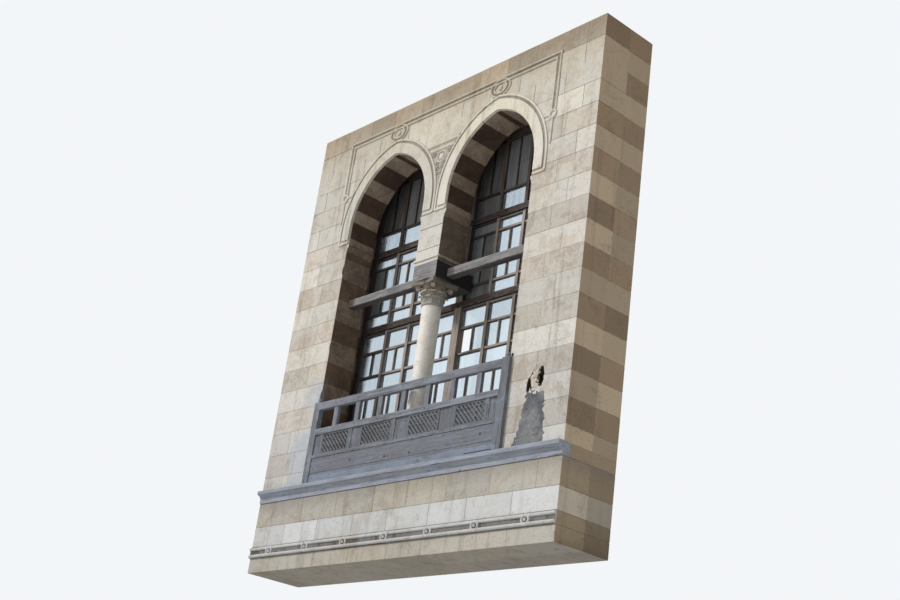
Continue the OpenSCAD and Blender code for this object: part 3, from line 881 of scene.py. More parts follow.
def marble_material():
    """Worn white marble with faint grey veins and yellowed patches."""
    known = bpy.data.materials.get("worn_marble")
    if known:
        return known
    material, bench, shader, place = new_material("worn_marble")
    worn = place_group(bench, stone_weathering(), Coordinates=place, Pit_Size=0.02, Streaking=0.6)
    flow = bench.noise(place, 2.2, 6, 0.6, 2.4)
    vein = bench.span(bench.calc("ABSOLUTE", bench.minus(flow, 0.5)), 0.028, 0.0)
    base = bench.mix(bench.span(worn["Mottle"], 0.4, 0.7), rgba(finish().marble), rgba((0.74, 0.68, 0.57)))
    veined = bench.mix(bench.times(vein, 0.4), base, rgba((0.42, 0.42, 0.43)))
    darkened = bench.mix(bench.times(worn["Stain"], 0.3), veined, rgba((0.48, 0.41, 0.32)))
    bench.wire(shader.inputs["Base Color"], darkened)
    bench.wire(shader.inputs["Roughness"], bench.span(worn["Grain"], 0.2, 0.8, 0.38, 0.58))
    bump(bench, shader, worn["Height"], 0.0012)
    return material


def timber_material(name, colour, deep, bleached, paint, paint_share, grain_depth=0.0016, painted_below=None):
    """Old timber: grain along each member, bleached fibres, cracks, and what is left of the paint."""
    known = bpy.data.materials.get(name)
    if known:
        return known
    material, bench, shader, place = new_material(name)
    tone = bench.read("tone")
    grain = place_group(bench, timber_grain(), Coordinates=place, Upright=bench.read("upright"), Tone=tone)
    rubbed = place_group(bench, edge_wear(), Coordinates=place, Edge=bench.read("edge"), Amount=0.85)["Mask"]
    dust = place_group(bench, settled_dust(), Coordinates=place, Amount=0.75)["Mask"]
    member = bench.mix(tone, rgba(colour, 0.82), rgba(colour, 1.16))
    banded = bench.mix(bench.span(grain["Bands"], 0.36, 0.7), member, rgba(deep))
    faded = bench.mix(bench.times(bench.span(grain["Fibre"], 0.46, 0.7), 0.6), banded, rgba(bleached))
    where = bench.noise(place, 3.1, 6, 0.66, 0.5)
    if painted_below:
        kept = bench.span(bench.axis(place, 2), painted_below, painted_below - 0.03, -0.06, 0.2)
        where = bench.plus(where, kept)
    left = bench.span(where, 0.62 - paint_share * 0.3, 0.70 - paint_share * 0.3)
    chipped = bench.times(left, bench.span(grain["Fibre"], 0.62, 0.46))
    painted = bench.mix(bench.times(chipped, 0.6), faded, rgba(paint))
    patchy = bench.mix(bench.span(bench.noise(place, 1.7, 5, 0.65), 0.45, 0.7, 0.0, 0.45), painted, rgba(deep))
    edged = bench.mix(rubbed, patchy, rgba(bleached))
    cracked = bench.mix(bench.times(grain["Cracks"], 0.8), edged, rgba((0.03, 0.026, 0.024)))
    film_over = bench.mix(dust, cracked, rgba((0.36, 0.35, 0.335)))
    # Faces marked with grime darken nearly to black: painted shade.
    bench.wire(shader.inputs["Base Color"], bench.mix(bench.read("soil"), film_over, rgba((0.02, 0.016, 0.016))))
    bench.wire(shader.inputs["Roughness"], bench.span(grain["Fibre"], 0.2, 0.8, 0.68, 0.88))
    shader.inputs["Specular IOR Level"].default_value = 0.3
    bump(bench, shader, grain["Height"], grain_depth)
    return material


def wood(kind):
    """One of the bay's timbers: its colour, its deep bands, bleached fibres, paint and how much of that is left."""
    own = finish()
    name, *values = {
        "ledge": (
            "silvered_ledge_timber", own.ledge_timber, (0.185, 0.195, 0.225), (0.43, 0.455, 0.505), (0.27, 0.33, 0.42),
            0.35,
        ),
        "rail": (
            "weathered_rail_timber", own.rail_timber, (0.09, 0.092, 0.102), (0.345, 0.36, 0.395), (0.23, 0.26, 0.31),
            0.3,
        ),
        "board": (
            "grey_board_timber", own.board_timber, (0.085, 0.085, 0.09), (0.27, 0.285, 0.315), own.blue_paint, 0.3
        ),
        "base": (
            "painted_base_timber", own.base_timber, (0.122, 0.117, 0.124), (0.29, 0.305, 0.335), own.blue_paint, 0.12,
            0.0016, BOARD_PAINT_TOP,
        ),
        "lath": (
            "grey_lath_timber", (0.125, 0.135, 0.15), (0.07, 0.07, 0.078), (0.25, 0.265, 0.29), (0.16, 0.19, 0.23), 0.3,
            0.0008,
        ),
        "frame": (
            "greyed_frame_timber", own.screen_timber, (0.20, 0.155, 0.125), (0.54, 0.50, 0.45), (0.38, 0.28, 0.22), 0.3
        ),
        # The transoms are nearly black, partly painted shade, and their light rubbed edges are partly a painted
        # highlight.
        "transom": (
            "red_brown_transom", (0.04, 0.027, 0.023), (0.021, 0.015, 0.013), (0.36, 0.29, 0.255), (0.08, 0.045, 0.035),
            0.2,
        ),
        # The upper lights and the screen's head are darkened with painted shade.
        "upper": (
            "dark_light_timber", (0.125, 0.095, 0.078), (0.06, 0.045, 0.037), (0.24, 0.205, 0.175), (0.16, 0.11, 0.085),
            0.4,
        ),
        "beam": (
            "old_beam_timber", own.beam_timber, (0.11, 0.10, 0.10), (0.40, 0.39, 0.385), (0.26, 0.255, 0.26), 0.3, 0.003
        ),
    }[kind]
    return timber_material(name, *values)


def glass_material(name="old_pane_glass", clear=0.94, dust_and_painted_light=(0.46, 0.54, 0.66), least=0.45):
    """Old window glass: faintly blue, rippled, and filmed in places. The film is dust with painted pale blue sky
    reflection on clear panes, and painted shade on the dark ones.
    """
    known = bpy.data.materials.get(name)
    if known:
        return known
    material, bench, shader, place = new_material(name)
    cloud = bench.noise(place, 5.0, 6, 0.65, 0.5)
    runs = bench.noise(bench.stretch(place, (16.0, 16.0, 1.2)), 1.0, 4, 0.6, 0.3)
    uneven = bench.span(bench.plus(bench.times(cloud, 0.5), bench.times(runs, 0.5)), 0.36, 0.6, least, 1.0)
    film_over = bench.times(uneven, bench.read("film"), clamp=True)
    tint = bench.mix(bench.read("tone"), rgba(finish().pane, 0.86), rgba(finish().pane, 1.0))
    # The film's colour: dust with painted pale blue sky reflection on clear panes, nearly black painted shade on the
    # dark ones.
    lit = bench.mix(bench.span(cloud, 0.3, 0.7), rgba(dust_and_painted_light, 0.8), rgba(dust_and_painted_light, 1.35))
    filmed = bench.mix(film_over, tint, lit)
    bench.wire(shader.inputs["Base Color"], filmed)
    bench.wire(shader.inputs["Roughness"], bench.span(film_over, 0.0, 1.0, 0.04, 0.5))
    shader.inputs["Transmission Weight"].default_value = clear
    shader.inputs["IOR"].default_value = 1.5
    bump(bench, shader, bench.noise(place, 3.0, 2, 0.5), 0.0012)
    return material


def iron_material():
    """Rusted nail heads."""
    known = bpy.data.materials.get("rusted_iron")
    if known:
        return known
    material, bench, shader, place = new_material("rusted_iron")
    rust = bench.noise(place, 60.0, 5, 0.7)
    bench.wire(shader.inputs["Base Color"], bench.mix(rust, rgba((0.022, 0.018, 0.018)), rgba((0.065, 0.043, 0.034))))
    bench.wire(shader.inputs["Roughness"], bench.span(rust, 0.2, 0.8, 0.55, 0.9))
    bench.wire(shader.inputs["Metallic"], bench.span(rust, 0.7, 0.3, 0.0, 0.3))
    bump(bench, shader, rust, 0.001)
    return material


# ---- Masonry ----


def cut_arches(piece, more=0.0):
    """Cuts the outline of both arch rings out of a piece of wall."""
    for side in (-1, 1):
        cut_away(piece, arch_cutter(side, sizes().ring_thick + more), use_self=True)


def arch_cutter(side, outward):
    """A solid with the outline of one arch, grown outwards, and deeper than the wall."""
    s = sizes()
    spring = IMPOST + s.stilt
    radius = s.arch_half_width + s.arc_offset + outward
    middle = (FACE + LEAF_BACK) / 2
    depth = LEAF_BACK - FACE + 0.3
    cutter = start_piece("arch_cutter")
    for half in (-1, 1):
        deselect()
        centre = side * ARCH_X - half * s.arc_offset
        bpy.ops.mesh.primitive_cylinder_add(
            vertices=160, radius=radius, depth=depth, location=(centre, middle, spring), rotation=(math.pi / 2, 0, 0)
        )
        bpy.ops.mesh.bisect(
            plane_co=(side * ARCH_X - half * 0.001, 0, 0), plane_no=(half, 0, 0), use_fill=True, clear_inner=True
        )
        bpy.ops.mesh.select_linked(delimit=set())
        bpy.ops.mesh.bisect(plane_co=(0, 0, spring - 0.001), plane_no=(0, 0, 1), use_fill=True, clear_inner=True)
    reach = s.arch_half_width + outward
    deselect()
    add_block(
        side * ARCH_X - reach, side * ARCH_X + reach, middle - depth / 2, middle + depth / 2, IMPOST, spring
    )
    close_piece()
    return cutter


def drop_slivers(piece, least):
    """Deletes loose parts that came out too thin to be a stone."""
    mesh = piece.data
    parts = islands(mesh)
    _, spans = part_centres(mesh, parts)
    areas = np.zeros(parts.max() + 1)
    np.add.at(areas, parts, read_all(mesh.polygons, "area"))
    thin = (np.minimum(spans[:, 0], spans[:, 2]) < least) | (areas < 0.05)
    if not thin.any():
        return
    select_faces(mesh, thin[parts])
    bpy.context.view_layer.objects.active = piece
    edit_mode()
    bpy.ops.mesh.select_mode(type="FACE")
    bpy.ops.mesh.delete(type="FACE")
    object_mode()


def course_colour(middle, span):
    """Even courses are tan and odd ones pale."""
    return 1 - course_of(middle[2]) % 2


def finish_stones(piece, seed, choose=course_colour, materials=None, bleach=None, soot=None):
    """Rounds the stones' arrises, marks their wear and painted shade, and gives them their materials."""
    round_edges(piece, sizes().arris)
    mark_wear(piece, seed, sizes().arris, bleach, soot)
    paint_parts(piece, materials or [stone("light"), stone("tan")], choose)


def break_out(piece, side):
    """Breaks the ragged hollows of one jamb out of a piece."""
    cutter = start_piece("break_cutter")
    for i, (x, y, z, *spans) in enumerate(HOLLOWS):
        if x * side > 0:
            deselect()
            bpy.ops.mesh.primitive_ico_sphere_add(subdivisions=3, radius=1, location=(x, y, z), scale=spans)
            bpy.ops.transform.vertex_random(offset=min(spans) * 0.4, seed=5 + i)
    close_piece()
    cut_away(piece, cutter, use_self=True)
    blacken_slots(piece)


def blacken_slots(piece):
    """Marks the inside of the slots in the right jamb dark: painted shade."""
    centres = face_centres(piece)
    deep = centres[:, 1] > FACE + 0.010
    inside = np.zeros(len(centres), bool)
    for x, y, z, *spans in HOLLOWS:
        if x > JAMB_X:
            inside |= (((centres - (x, y, z)) / spans) ** 2).sum(axis=1) < 2.4
    mark_faces(piece, "soil", np.where(deep & inside, 1.0, 0.0))


class LOGGIA_OT_jambs(bpy.types.Operator):
    """Lay the striped stones of both jambs and of the piers behind them"""

    bl_idname = "loggia.jambs"
    bl_label = "Jambs"

    def execute(self, context):
        for side, word in SIDES:
            rng = random.Random(40 + side)
            piece = start_piece(word + "_jamb_stones")
            for k in range(-1, IMPOST_COURSE):
                lay_course(self.pair(JAMB_X, k, rng), FACE, LEAF_BACK, max(SILL, bed(k)), bed(k + 1), side)
            close_piece()
            cut_arches(piece)
            drop_slivers(piece, 0.03)
            finish_stones(piece, 11 + side)
            break_out(piece, side)
            carry(piece, "limestone_light", word + "_jamb")
            piece = start_piece(word + "_back_pier_stones")
            for k in range(-1, LINTEL_COURSE):
                lay_course(self.pair(RECESS_X, k + 1, rng), LEAF_BACK, WALL_BACK, max(SILL, bed(k)), bed(k + 1), side)
            close_piece()
            finish_stones(piece, 21 + side)
            carry(piece, "limestone_light", word + "_back_pier")
        return {"FINISHED"}

    def pair(self, inner, k, rng):
        """Edges of the two stones of a course, a long and a short one in turn."""
        share = (0.60 if k % 2 else 0.40) + rng.uniform(-0.06, 0.06)
        return inner, inner + (HALF_W - inner) * share, HALF_W


class LOGGIA_OT_spandrels(bpy.types.Operator):
    """Lay the stones over the arches, with the lintel and the head course"""

    bl_idname = "loggia.spandrels"
    bl_label = "Spandrels and Head"

    def execute(self, context):
        length = sizes().block_length
        for side, word in SIDES:
            rng = random.Random(60 + side)
            piece = start_piece(word + "_spandrel_stones")
            for k in range(IMPOST_COURSE, HEAD_COURSE):
                lay_course(split(0, HALF_W, length, 0.5 * (k % 2), rng), FACE, LEAF_BACK, bed(k), bed(k + 1), side)
            close_piece()
            cut_arches(piece)
            drop_slivers(piece, 0.02)
            finish_stones(piece, 31 + side)
            carry(piece, "limestone_light", word + "_arch_wall")
        rng = random.Random(70)
        for name, node, slot, seed, depths, z0, z1, shift in (
            ("lintel_stones", "recess_lintel", "limestone_tan", 36, (LEAF_BACK, WALL_BACK), RECESS_TOP, ARCH_TOP, 0.5),
            ("head_stones", "head_wall", "limestone_light", 37, (FACE, LEAF_BACK, WALL_BACK), ARCH_TOP, TOP, 0.0),
        ):
            piece = start_piece(name)
            for i, (near, far) in enumerate(zip(depths, depths[1:])):
                lay_course(split(-HALF_W, HALF_W, length, shift + 0.5 * i, rng), near, far, z0, z1)
            close_piece()
            finish_stones(piece, seed)
            carry(piece, slot, node)
        return {"FINISHED"}


def ring_part(middle, half, near, far, low, high, inside=0.0, outside=None):
    """One part of an arch ring: its section is raised on the stilt, then spun round the arc's centre.

    low and high are distances along the arch from its impost. A high past the top closes the half ring.
    """
    s = sizes()
    outside = s.ring_thick if outside is None else outside
    inner = s.arch_half_width + s.arc_offset
    spring = IMPOST + s.stilt
    centre = middle - half * s.arc_offset
    last = high > 2
    turned = max(0.0, low - s.stilt) / inner
    deselect()
    foot = (centre + half * (inner + (inside + outside) / 2), (near + far) / 2, min(IMPOST + low, spring))
    bpy.ops.mesh.primitive_plane_add(size=1, location=foot)
    bpy.ops.transform.resize(value=(outside - inside, far - near, 1), center_override=foot)
    if turned > 0:
        bpy.ops.transform.rotate(value=half * turned, orient_axis="Y", center_override=(centre, 0, spring))
    raised = min(high, s.stilt) - min(low, s.stilt)
    if raised > 0:
        bpy.ops.mesh.extrude_region_move(TRANSFORM_OT_translate={"value": (0, 0, raised)})
    turn = math.acos(s.arc_offset / (inner + outside)) if last else max(0.0, high - s.stilt) / inner
    if turn > turned:
        bpy.ops.mesh.spin(
            steps=max(2, round((turn - turned) / 0.045)), angle=half * (turn - turned),
            center=(centre, 0, spring), axis=(0, 1, 0),
        )
    if last:
        bpy.ops.mesh.select_linked(delimit=set())
        bpy.ops.mesh.bisect(plane_co=(middle, 0, 0), plane_no=(-half, 0, 0), use_fill=True, clear_outer=True)


class LOGGIA_OT_rings(bpy.types.Operator):
    """Turn the arch rings: a pale ring in front of dark and tan voussoirs"""

    bl_idname = "loggia.rings"
    bl_label = "Arch Rings"

    joints: bpy.props.FloatVectorProperty(
        name="Joints",
        description="Joints between the voussoirs, as distances along the arch from its impost",
        size=8,
        default=(0.0, 0.10, 0.35, 0.53, 0.79, 1.02, 1.29, 1.52),
        unit="LENGTH",
    )

    def execute(self, context):
        s = sizes()
        for side, word in SIDES:
            front = start_piece(word + "_front_ring")
            self.lay(side, FACE, FACE + s.ring_front)
            close_piece()
            finish_stones(front, 41 + side, first_material, [stone("ring")], 0.8, 0.0)
            carry(front, "limestone_light", word + "_arch_wall")
            ring = start_piece(word + "_striped_ring")
            self.lay(side, FACE + s.ring_front + s.joint / 2, LEAF_BACK)
            close_piece()
            striped = [stone("tan voussoir"), stone("dark voussoir")]
            finish_stones(ring, 44 + side, lambda m, p, c=side * ARCH_X: self.stripe(m, c), striped)
            carry(ring, "limestone_tan", word + "_arch_wall")
        return {"FINISHED"}

    def lay(self, side, near, far):
        """Lays both halves of one ring between two depths."""
        half_joint = sizes().joint / 2
        ends = [*self.joints, PAST_TOP]
        for half in (-1, 1):
            for low, high in zip(ends, ends[1:]):
                ring_part(side * ARCH_X, half, near, far, low + (half_joint if low else 0), high - half_joint)

    def stripe(self, middle, centre):
        """Dark for every second voussoir, counted up from the impost."""
        s = sizes()
        spring = IMPOST + s.stilt
        run = middle[2] - IMPOST
        if middle[2] > spring:
            across = abs(middle[0] - centre) + s.arc_offset
            run = s.stilt + math.atan2(middle[2] - spring, across) * (s.arch_half_width + s.arc_offset)
        return sum(run > j for j in self.joints[1:]) % 2


class LOGGIA_OT_pier(bpy.types.Operator):
    """Lay the stones of the pier on the column and its half-round fillet"""

    bl_idname = "loggia.pier"
    bl_label = "Pier"

    def execute(self, context):
        piece = start_piece("pier_stones")
        beds = (PIER_Z, bed(9), bed(10), IMPOST)
        for z0, z1 in zip(beds, beds[1:]):
            add_stone(-PIER_X, PIER_X, FACE, LEAF_BACK, z0, z1)
        close_piece()
        finish_stones(piece, 51, first_material)
        # The pier's sides darken: painted shade.
        mark_faces(piece, "soil", 0.68 * (np.abs(face_normals(piece)[:, 0]) > 0.5))
        carry(piece, "limestone_light", "centre_pier")
        fillet = start_piece("pier_fillet")
        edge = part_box("centre_pier")[1].x
        radius = edge - PIER_X
        z = PIER_Z + 0.06
        for x0, x1, y0, y1 in (
            (-edge, edge, FACE - radius, FACE), (-edge, -PIER_X, FACE, LEAF_BACK), (PIER_X, edge, FACE, LEAF_BACK),
        ):
            deselect()
            add_block(x0, x1, y0, y1, z - radius, z + radius)
        close_piece()
        round_edges(fillet, radius * 0.8, 4)
        finish_piece(fillet, "limestone_light", stone("ring"), 52, 0.002, "centre_pier")
        return {"FINISHED"}


class LOGGIA_OT_apron(bpy.types.Operator):
    """Lay the courses under the openings"""

    bl_idname = "loggia.apron"
    bl_label = "Apron"

    def execute(self, context):
        rng = random.Random(80)
        ledge_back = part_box("ledge")[1].y
        beds = (0.0, STRING_Z, STRING_TOP, PALE_COURSE_TOP, LEDGE_Z, SILL)
        piece = start_piece("apron_stones")
        for i, (z0, z1) in enumerate(zip(beds, beds[1:])):
            near = ledge_back if z0 == LEDGE_Z else FACE
            for j, (y0, y1) in enumerate(((near, LEAF_BACK), (LEAF_BACK, WALL_BACK))):
                edges = split(-HALF_W, HALF_W, sizes().block_length * 1.25, 0.5 * ((i + j) % 2), rng)
                lay_course(edges, y0, y1, z0, z1)
        close_piece()
        striped = [stone("washed"), stone("olive")]
        finish_stones(piece, 61, lambda m, p: int(not STRING_TOP < m[2] < PALE_COURSE_TOP), striped)
        carry(piece, "limestone_tan", "apron_wall")
        return {"FINISHED"}


class LOGGIA_OT_joints(bpy.types.Operator):
    """Fill the joints: the walls' own solids, drawn in behind the faces of the stones"""

    bl_idname = "loggia.joints"
    bl_label = "Mortar Joints"

    def execute(self, context):
        walls = (
            "apron_wall", "left_jamb", "right_jamb", "left_back_pier", "right_back_pier", "recess_lintel",
            "left_arch_wall", "right_arch_wall", "head_wall",
        )
        copies = [copy_node(wall, wall + "_mortar") for wall in walls]
        for piece in copies:
            pick(piece)
            edit_mode()
            bpy.ops.mesh.select_all(action="SELECT")
            bpy.ops.transform.shrink_fatten(value=-sizes().joint_depth, use_even_offset=True)
            object_mode()
            if "jamb" in piece.name:
                break_out(piece, -1 if "left" in piece.name else 1)
        finish_piece(join(copies, "mortar_core"), "limestone_tan", stone("mortar"), 71, 0.0001)
        return {"FINISHED"}


class LOGGIA_OT_mouldings(bpy.types.Operator):
    """Dress the arch bands, frame rolls, imposts and string moulding"""

    bl_idname = "loggia.mouldings"
    bl_label = "Mouldings"

    def execute(self, context):
        # Stone, slot, the depths between which grime and painted shade darken the hollows, and the least and the most
        # of it.
        made = {
            "left_architrave": ("ring", "limestone_light", (-0.009, -0.004, 0.0, 0.6)),
            "right_architrave": ("ring", "limestone_light", (-0.009, -0.004, 0.0, 0.6)),
            "frame_moulding": ("light", "limestone_light", (-0.009, -0.004, 0.0, 0.35)),
            "left_impost": ("light", "limestone_tan", None),
            "centre_impost": ("light", "limestone_tan", None),
            "right_impost": ("light", "limestone_tan", None),
            "string_moulding": ("washed", "limestone_tan", (-0.017, -0.0125, 0.22, 1.0)),
        }
        for i, (node, (kind, slot, hollows)) in enumerate(made.items()):
            piece = copy_stone(node)
            soil = None
            if hollows:
                low, high, least, most = hollows
                depth = face_centres(piece)[:, 1] - FACE
                soil = np.clip((depth - low) / (high - low), least, most) * (depth < 0.01)
            finish_piece(piece, slot, stone(kind), 81 + i, 0.0015, node, soil=soil)
        return {"FINISHED"}


class LOGGIA_OT_grooves(bpy.types.Operator):
    """Line the grooves between the rolls with dark linings: grime with painted shade"""

    bl_idname = "loggia.grooves"
    bl_label = "Groove Linings"

    # How far outside an arch's inner edge its groove begins and ends.
    arch_groove = (0.158, 0.202)

    def execute(self, context):
        near, far, half = FACE - 0.0015, FACE + 0.004, sizes().groove / 2 + 0.004
        piece = start_piece("groove_linings")
        for side in (-1, 1):
            for turn in (-1, 1):
                ring_part(side * ARCH_X, turn, near, far, BAND_FOOT - IMPOST, PAST_TOP, *self.arch_groove)
            self.loop(side, near)
            deselect()
            add_block(side * FRAME_X - half, side * FRAME_X + half, near, far, FRAME_FOOT, ARCH_TOP)
        deselect()
        add_block(-FRAME_X, FRAME_X, near + 0.0002, far, ARCH_TOP - half, ARCH_TOP + half)
        deselect()
        add_block(-0.013, 0.013, near - 0.0005, far, BAND_FOOT + 0.006, BAND_FOOT + 0.115)
        close_piece()
        finish_piece(piece, "limestone_light", stone("groove"), 88, 0.0005)
        return {"FINISHED"}

    def loop(self, side, near):
        """The flat ground between the two oval rings over an arch."""
        deselect()
        middle = (side * ARCH_X, near, LOOP_Z)
        bpy.ops.mesh.primitive_circle_add(
            vertices=48, radius=LOOP_RADIUS, fill_type="NGON", location=middle, rotation=(math.pi / 2, 0, 0)
        )
        bpy.ops.transform.resize(value=(1, 1, LOOP_HEIGHT), center_override=middle)
        bpy.ops.mesh.inset(thickness=LOOP_BAND)
        bpy.ops.mesh.delete(type="ONLY_FACE")
        object_mode()
        centres = face_centres(bpy.context.object)
        here = np.hypot(centres[:, 0] - middle[0], (centres[:, 2] - middle[2]) / LOOP_HEIGHT) < LOOP_RADIUS + 0.03
        select_faces(bpy.context.object.data, here & (np.abs(centres[:, 1] - near) < 1e-5))
        edit_mode()
        bpy.ops.mesh.select_mode(type="FACE")
        bpy.ops.mesh.extrude_region_move(TRANSFORM_OT_translate={"value": (0, 0.005, 0)})


def scroll_model(leaves=()):
    """One scroll of radius 1: half circles that draw in, an eye, and leaves along its back."""
    piece = start_piece("scroll")
    start, radius, width, heading = 1.0, 1.0, 0.15, -1
    for _ in range(4):
        centre = start + heading * radius
        deselect()
        bpy.ops.mesh.primitive_circle_add(vertices=6, radius=width, fill_type="NGON", location=(start, 0, 0))
        bpy.ops.mesh.spin(steps=8, angle=math.pi, center=(centre, 0, 0), axis=(0, 1, 0))
        start, radius, width, heading = centre + heading * radius, radius * 0.64, width * 0.88, -heading
    for angle, length in leaves:
        add_ball((0, 0, 0), (0.13, 0.13, length), 6, 4)
        bpy.ops.transform.translate(value=(0, 0, 1.0 + length * 0.8))
        bpy.ops.transform.rotate(value=math.radians(angle), orient_axis="Y", center_override=(0, 0, 0))
    add_ball((-0.28, 0, 0), (0.2, 0.2, 0.2), 8, 6)
    close_piece()
    return piece


class LOGGIA_OT_carving(bpy.types.Operator):
    """Carve the panel of scrolls between the arches, with its medallion"""

    bl_idname = "loggia.carving"
    bl_label = "Carved Panel"

    relief: bpy.props.FloatProperty(name="Relief", description="Height of the carving", default=0.014, unit="LENGTH")

    # Places of the scrolls: across, height, radius and turn. Each stands on both sides of the middle.
    places = (
        (0.034, 5.165, 0.020, 80), (0.050, 5.245, 0.028, 60), (0.066, 5.325, 0.026, 20), (0.150, 5.490, 0.034, 200),
    )

    def execute(self, context):
        ground = start_piece("carved_ground")
        add_block(-0.5, 0.5, FACE - 0.001, FACE + 0.004, BAND_FOOT, PANEL_TOP)
        close_piece()
        cut_arches(ground, 0.002)
        # The ground is darker than the scrolls: painted shade.
        finish_piece(ground, "limestone_light", stone("ring"), 84, 0.0005, soil=0.5)
        spots, turns, scales = [], [], []
        for x, z, radius, turn in self.places:
            for side in (-1, 1):
                spots.append((side * x, FACE, z))
                turns.append((0, side * math.radians(turn), 0))
                scales.append((side * radius, self.relief / 0.15, radius))
        model = scroll_model(((20, 0.30), (62, 0.36), (105, 0.36), (150, 0.30), (200, 0.24)))
        scrolls = scatter(model, spots, "carved_scrolls", turns, scales)
        # The scrolls darken towards the ground: painted shade.
        soil = np.clip((face_centres(scrolls)[:, 1] - FACE + 0.006) / 0.005, 0, 1)
        finish_piece(scrolls, "limestone_light", stone("ring"), 85, 0.0005, soil=soil)
        self.medallion()
        return {"FINISHED"}

    def medallion(self):
        """The ring with its boss, the two bands that cross above it, and the row of beads below."""
        piece = start_piece("carved_medallion")
        z = MEDALLION_Z
        bpy.ops.mesh.primitive_torus_add(
            major_segments=36, minor_segments=8, major_radius=0.084, minor_radius=0.011, location=(0, FACE, z),
            rotation=(math.pi / 2, 0, 0),
        )
        beads = [(0.061 * math.sin(a), z + 0.061 * math.cos(a), 0.0095) for a in np.arange(0, 6.2, math.pi / 6)]
        beads += [(0, h, 0.0105) for h in np.arange(4.93, 5.33, 0.032)] + [(0, z, 0.046)]
        for x, h, r in beads:
            add_ball((x, FACE, h), (r, min(r, 0.018), r), *((16, 10) if r > 0.04 else (10, 6)))
        for reach, h in ((0.245, 5.553), (0.325, 5.640)):
            deselect()
            bpy.ops.mesh.primitive_cylinder_add(
                vertices=14, radius=0.026, depth=2 * reach, location=(0, FACE, h), rotation=(0, math.pi / 2, 0)
            )
            bpy.ops.transform.resize(value=(1, self.relief / 0.026, 1), center_override=(0, FACE, h))
        close_piece()
        bpy.ops.object.shade_smooth_by_angle(angle=math.radians(40))
        # The medallion darkens towards the ground: painted shade.
        soil = np.clip((face_centres(piece)[:, 1] - FACE + 0.005) / 0.004, 0, 1)
        finish_piece(piece, "limestone_light", stone("ring"), 86, 0.0005, soil=soil)


class LOGGIA_OT_repairs(bpy.types.Operator):
    """Fill the broken jamb with rubble and smear the old cement repair below it"""

    bl_idname = "loggia.repairs"
    bl_label = "Repairs"

    # Corners of the cement on the wall face, and the spans across and upwards that the rubble fills.
    cement = ((2.125, 1.755), (2.445, 1.755), (1.985, 1.10), (2.535, 1.10))
    rubble_across, rubble_up = (2.195, 2.305), (1.74, 1.99)

    def execute(self, context):
        patch = self.smear(self.cement, 0.016, 31)
        bpy.ops.object.shade_smooth_by_angle(angle=math.radians(50))
        blots = np.array([
            min(1.0, max(0.1, 1.0 - (z - 1.12) + 0.9 * noise.fractal(Vector((x * 6, 3, z * 4)), 0.9, 2.1, 4)))
            for x, _, z in face_centres(patch)
        ])
        finish_piece(patch, "limestone_tan", stone("cement"), 87, 0.0005, bleach=blots, soot=0.0)
        self.rubble()
        return {"FINISHED"}

    def smear(self, corners, thick, seed):
        """A patch over four corners of the wall face, thick in its middle and ragged where it thins out."""
        top_left, top_right, low_left, low_right = (Vector((x, 0, z)) for x, z in corners)
        piece = start_piece("cement_patch")
        bpy.ops.mesh.primitive_grid_add(x_subdivisions=48, y_subdivisions=72, size=2, location=(0, 0, 0))
        object_mode()
        for point in piece.data.vertices:
            u, v = point.co.x, point.co.y
            low = low_left.lerp(low_right, (u + 1) / 2)
            spot = low.lerp(top_left.lerp(top_right, (u + 1) / 2), (v + 1) / 2)
            ragged = noise.fractal(spot * 9 + Vector((seed, 0, 0)), 0.8, 2.1, 5)
            fine = noise.fractal(spot * 42 + Vector((0, seed, 0)), 0.9, 2.1, 3)
            rim = 1 - max(abs(u), v) - 0.10 + 0.17 * ragged + 0.06 * fine
            rise = thick * min(1.0, max(0.0, rim * 7)) * (0.8 + 0.25 * ragged + 0.12 * fine)
            point.co = (spot.x, FACE + 0.005 - max(0.0, rise), spot.z)
        apply_modifier(piece, "SOLIDIFY", thickness=0.012, offset=-1)
        edit_mode()
        close_piece()
        return piece

    def rubble(self):
        """Broken stone between the two slots."""
        rng = random.Random(17)
        lump = start_piece("lump")
        bpy.ops.mesh.primitive_ico_sphere_add(subdivisions=2, radius=1, location=(0, 0, 0))
        bpy.ops.transform.vertex_random(offset=0.28, seed=3)
        close_piece()
        spots, turns, scales = [], [], []
        for _ in range(26):
            size = rng.uniform(0.014, 0.036)
            across, up = rng.uniform(*self.rubble_across), rng.uniform(*self.rubble_up)
            spots.append((across, FACE + 0.012 + size * 0.4, up))
            turns.append((0, rng.uniform(0, 6.28), 0))
            scales.append((size, size * 0.8, size * rng.uniform(0.7, 1.4)))
        piece = scatter(lump, spots, "jamb_rubble", turns, scales)
        faded = np.random.default_rng(5).uniform(0.2, 1.0, len(piece.data.polygons))
        finish_piece(piece, "limestone_light", stone("ring"), 89, 0.0005, bleach=faded, soot=0.0)


# ---- Column ----


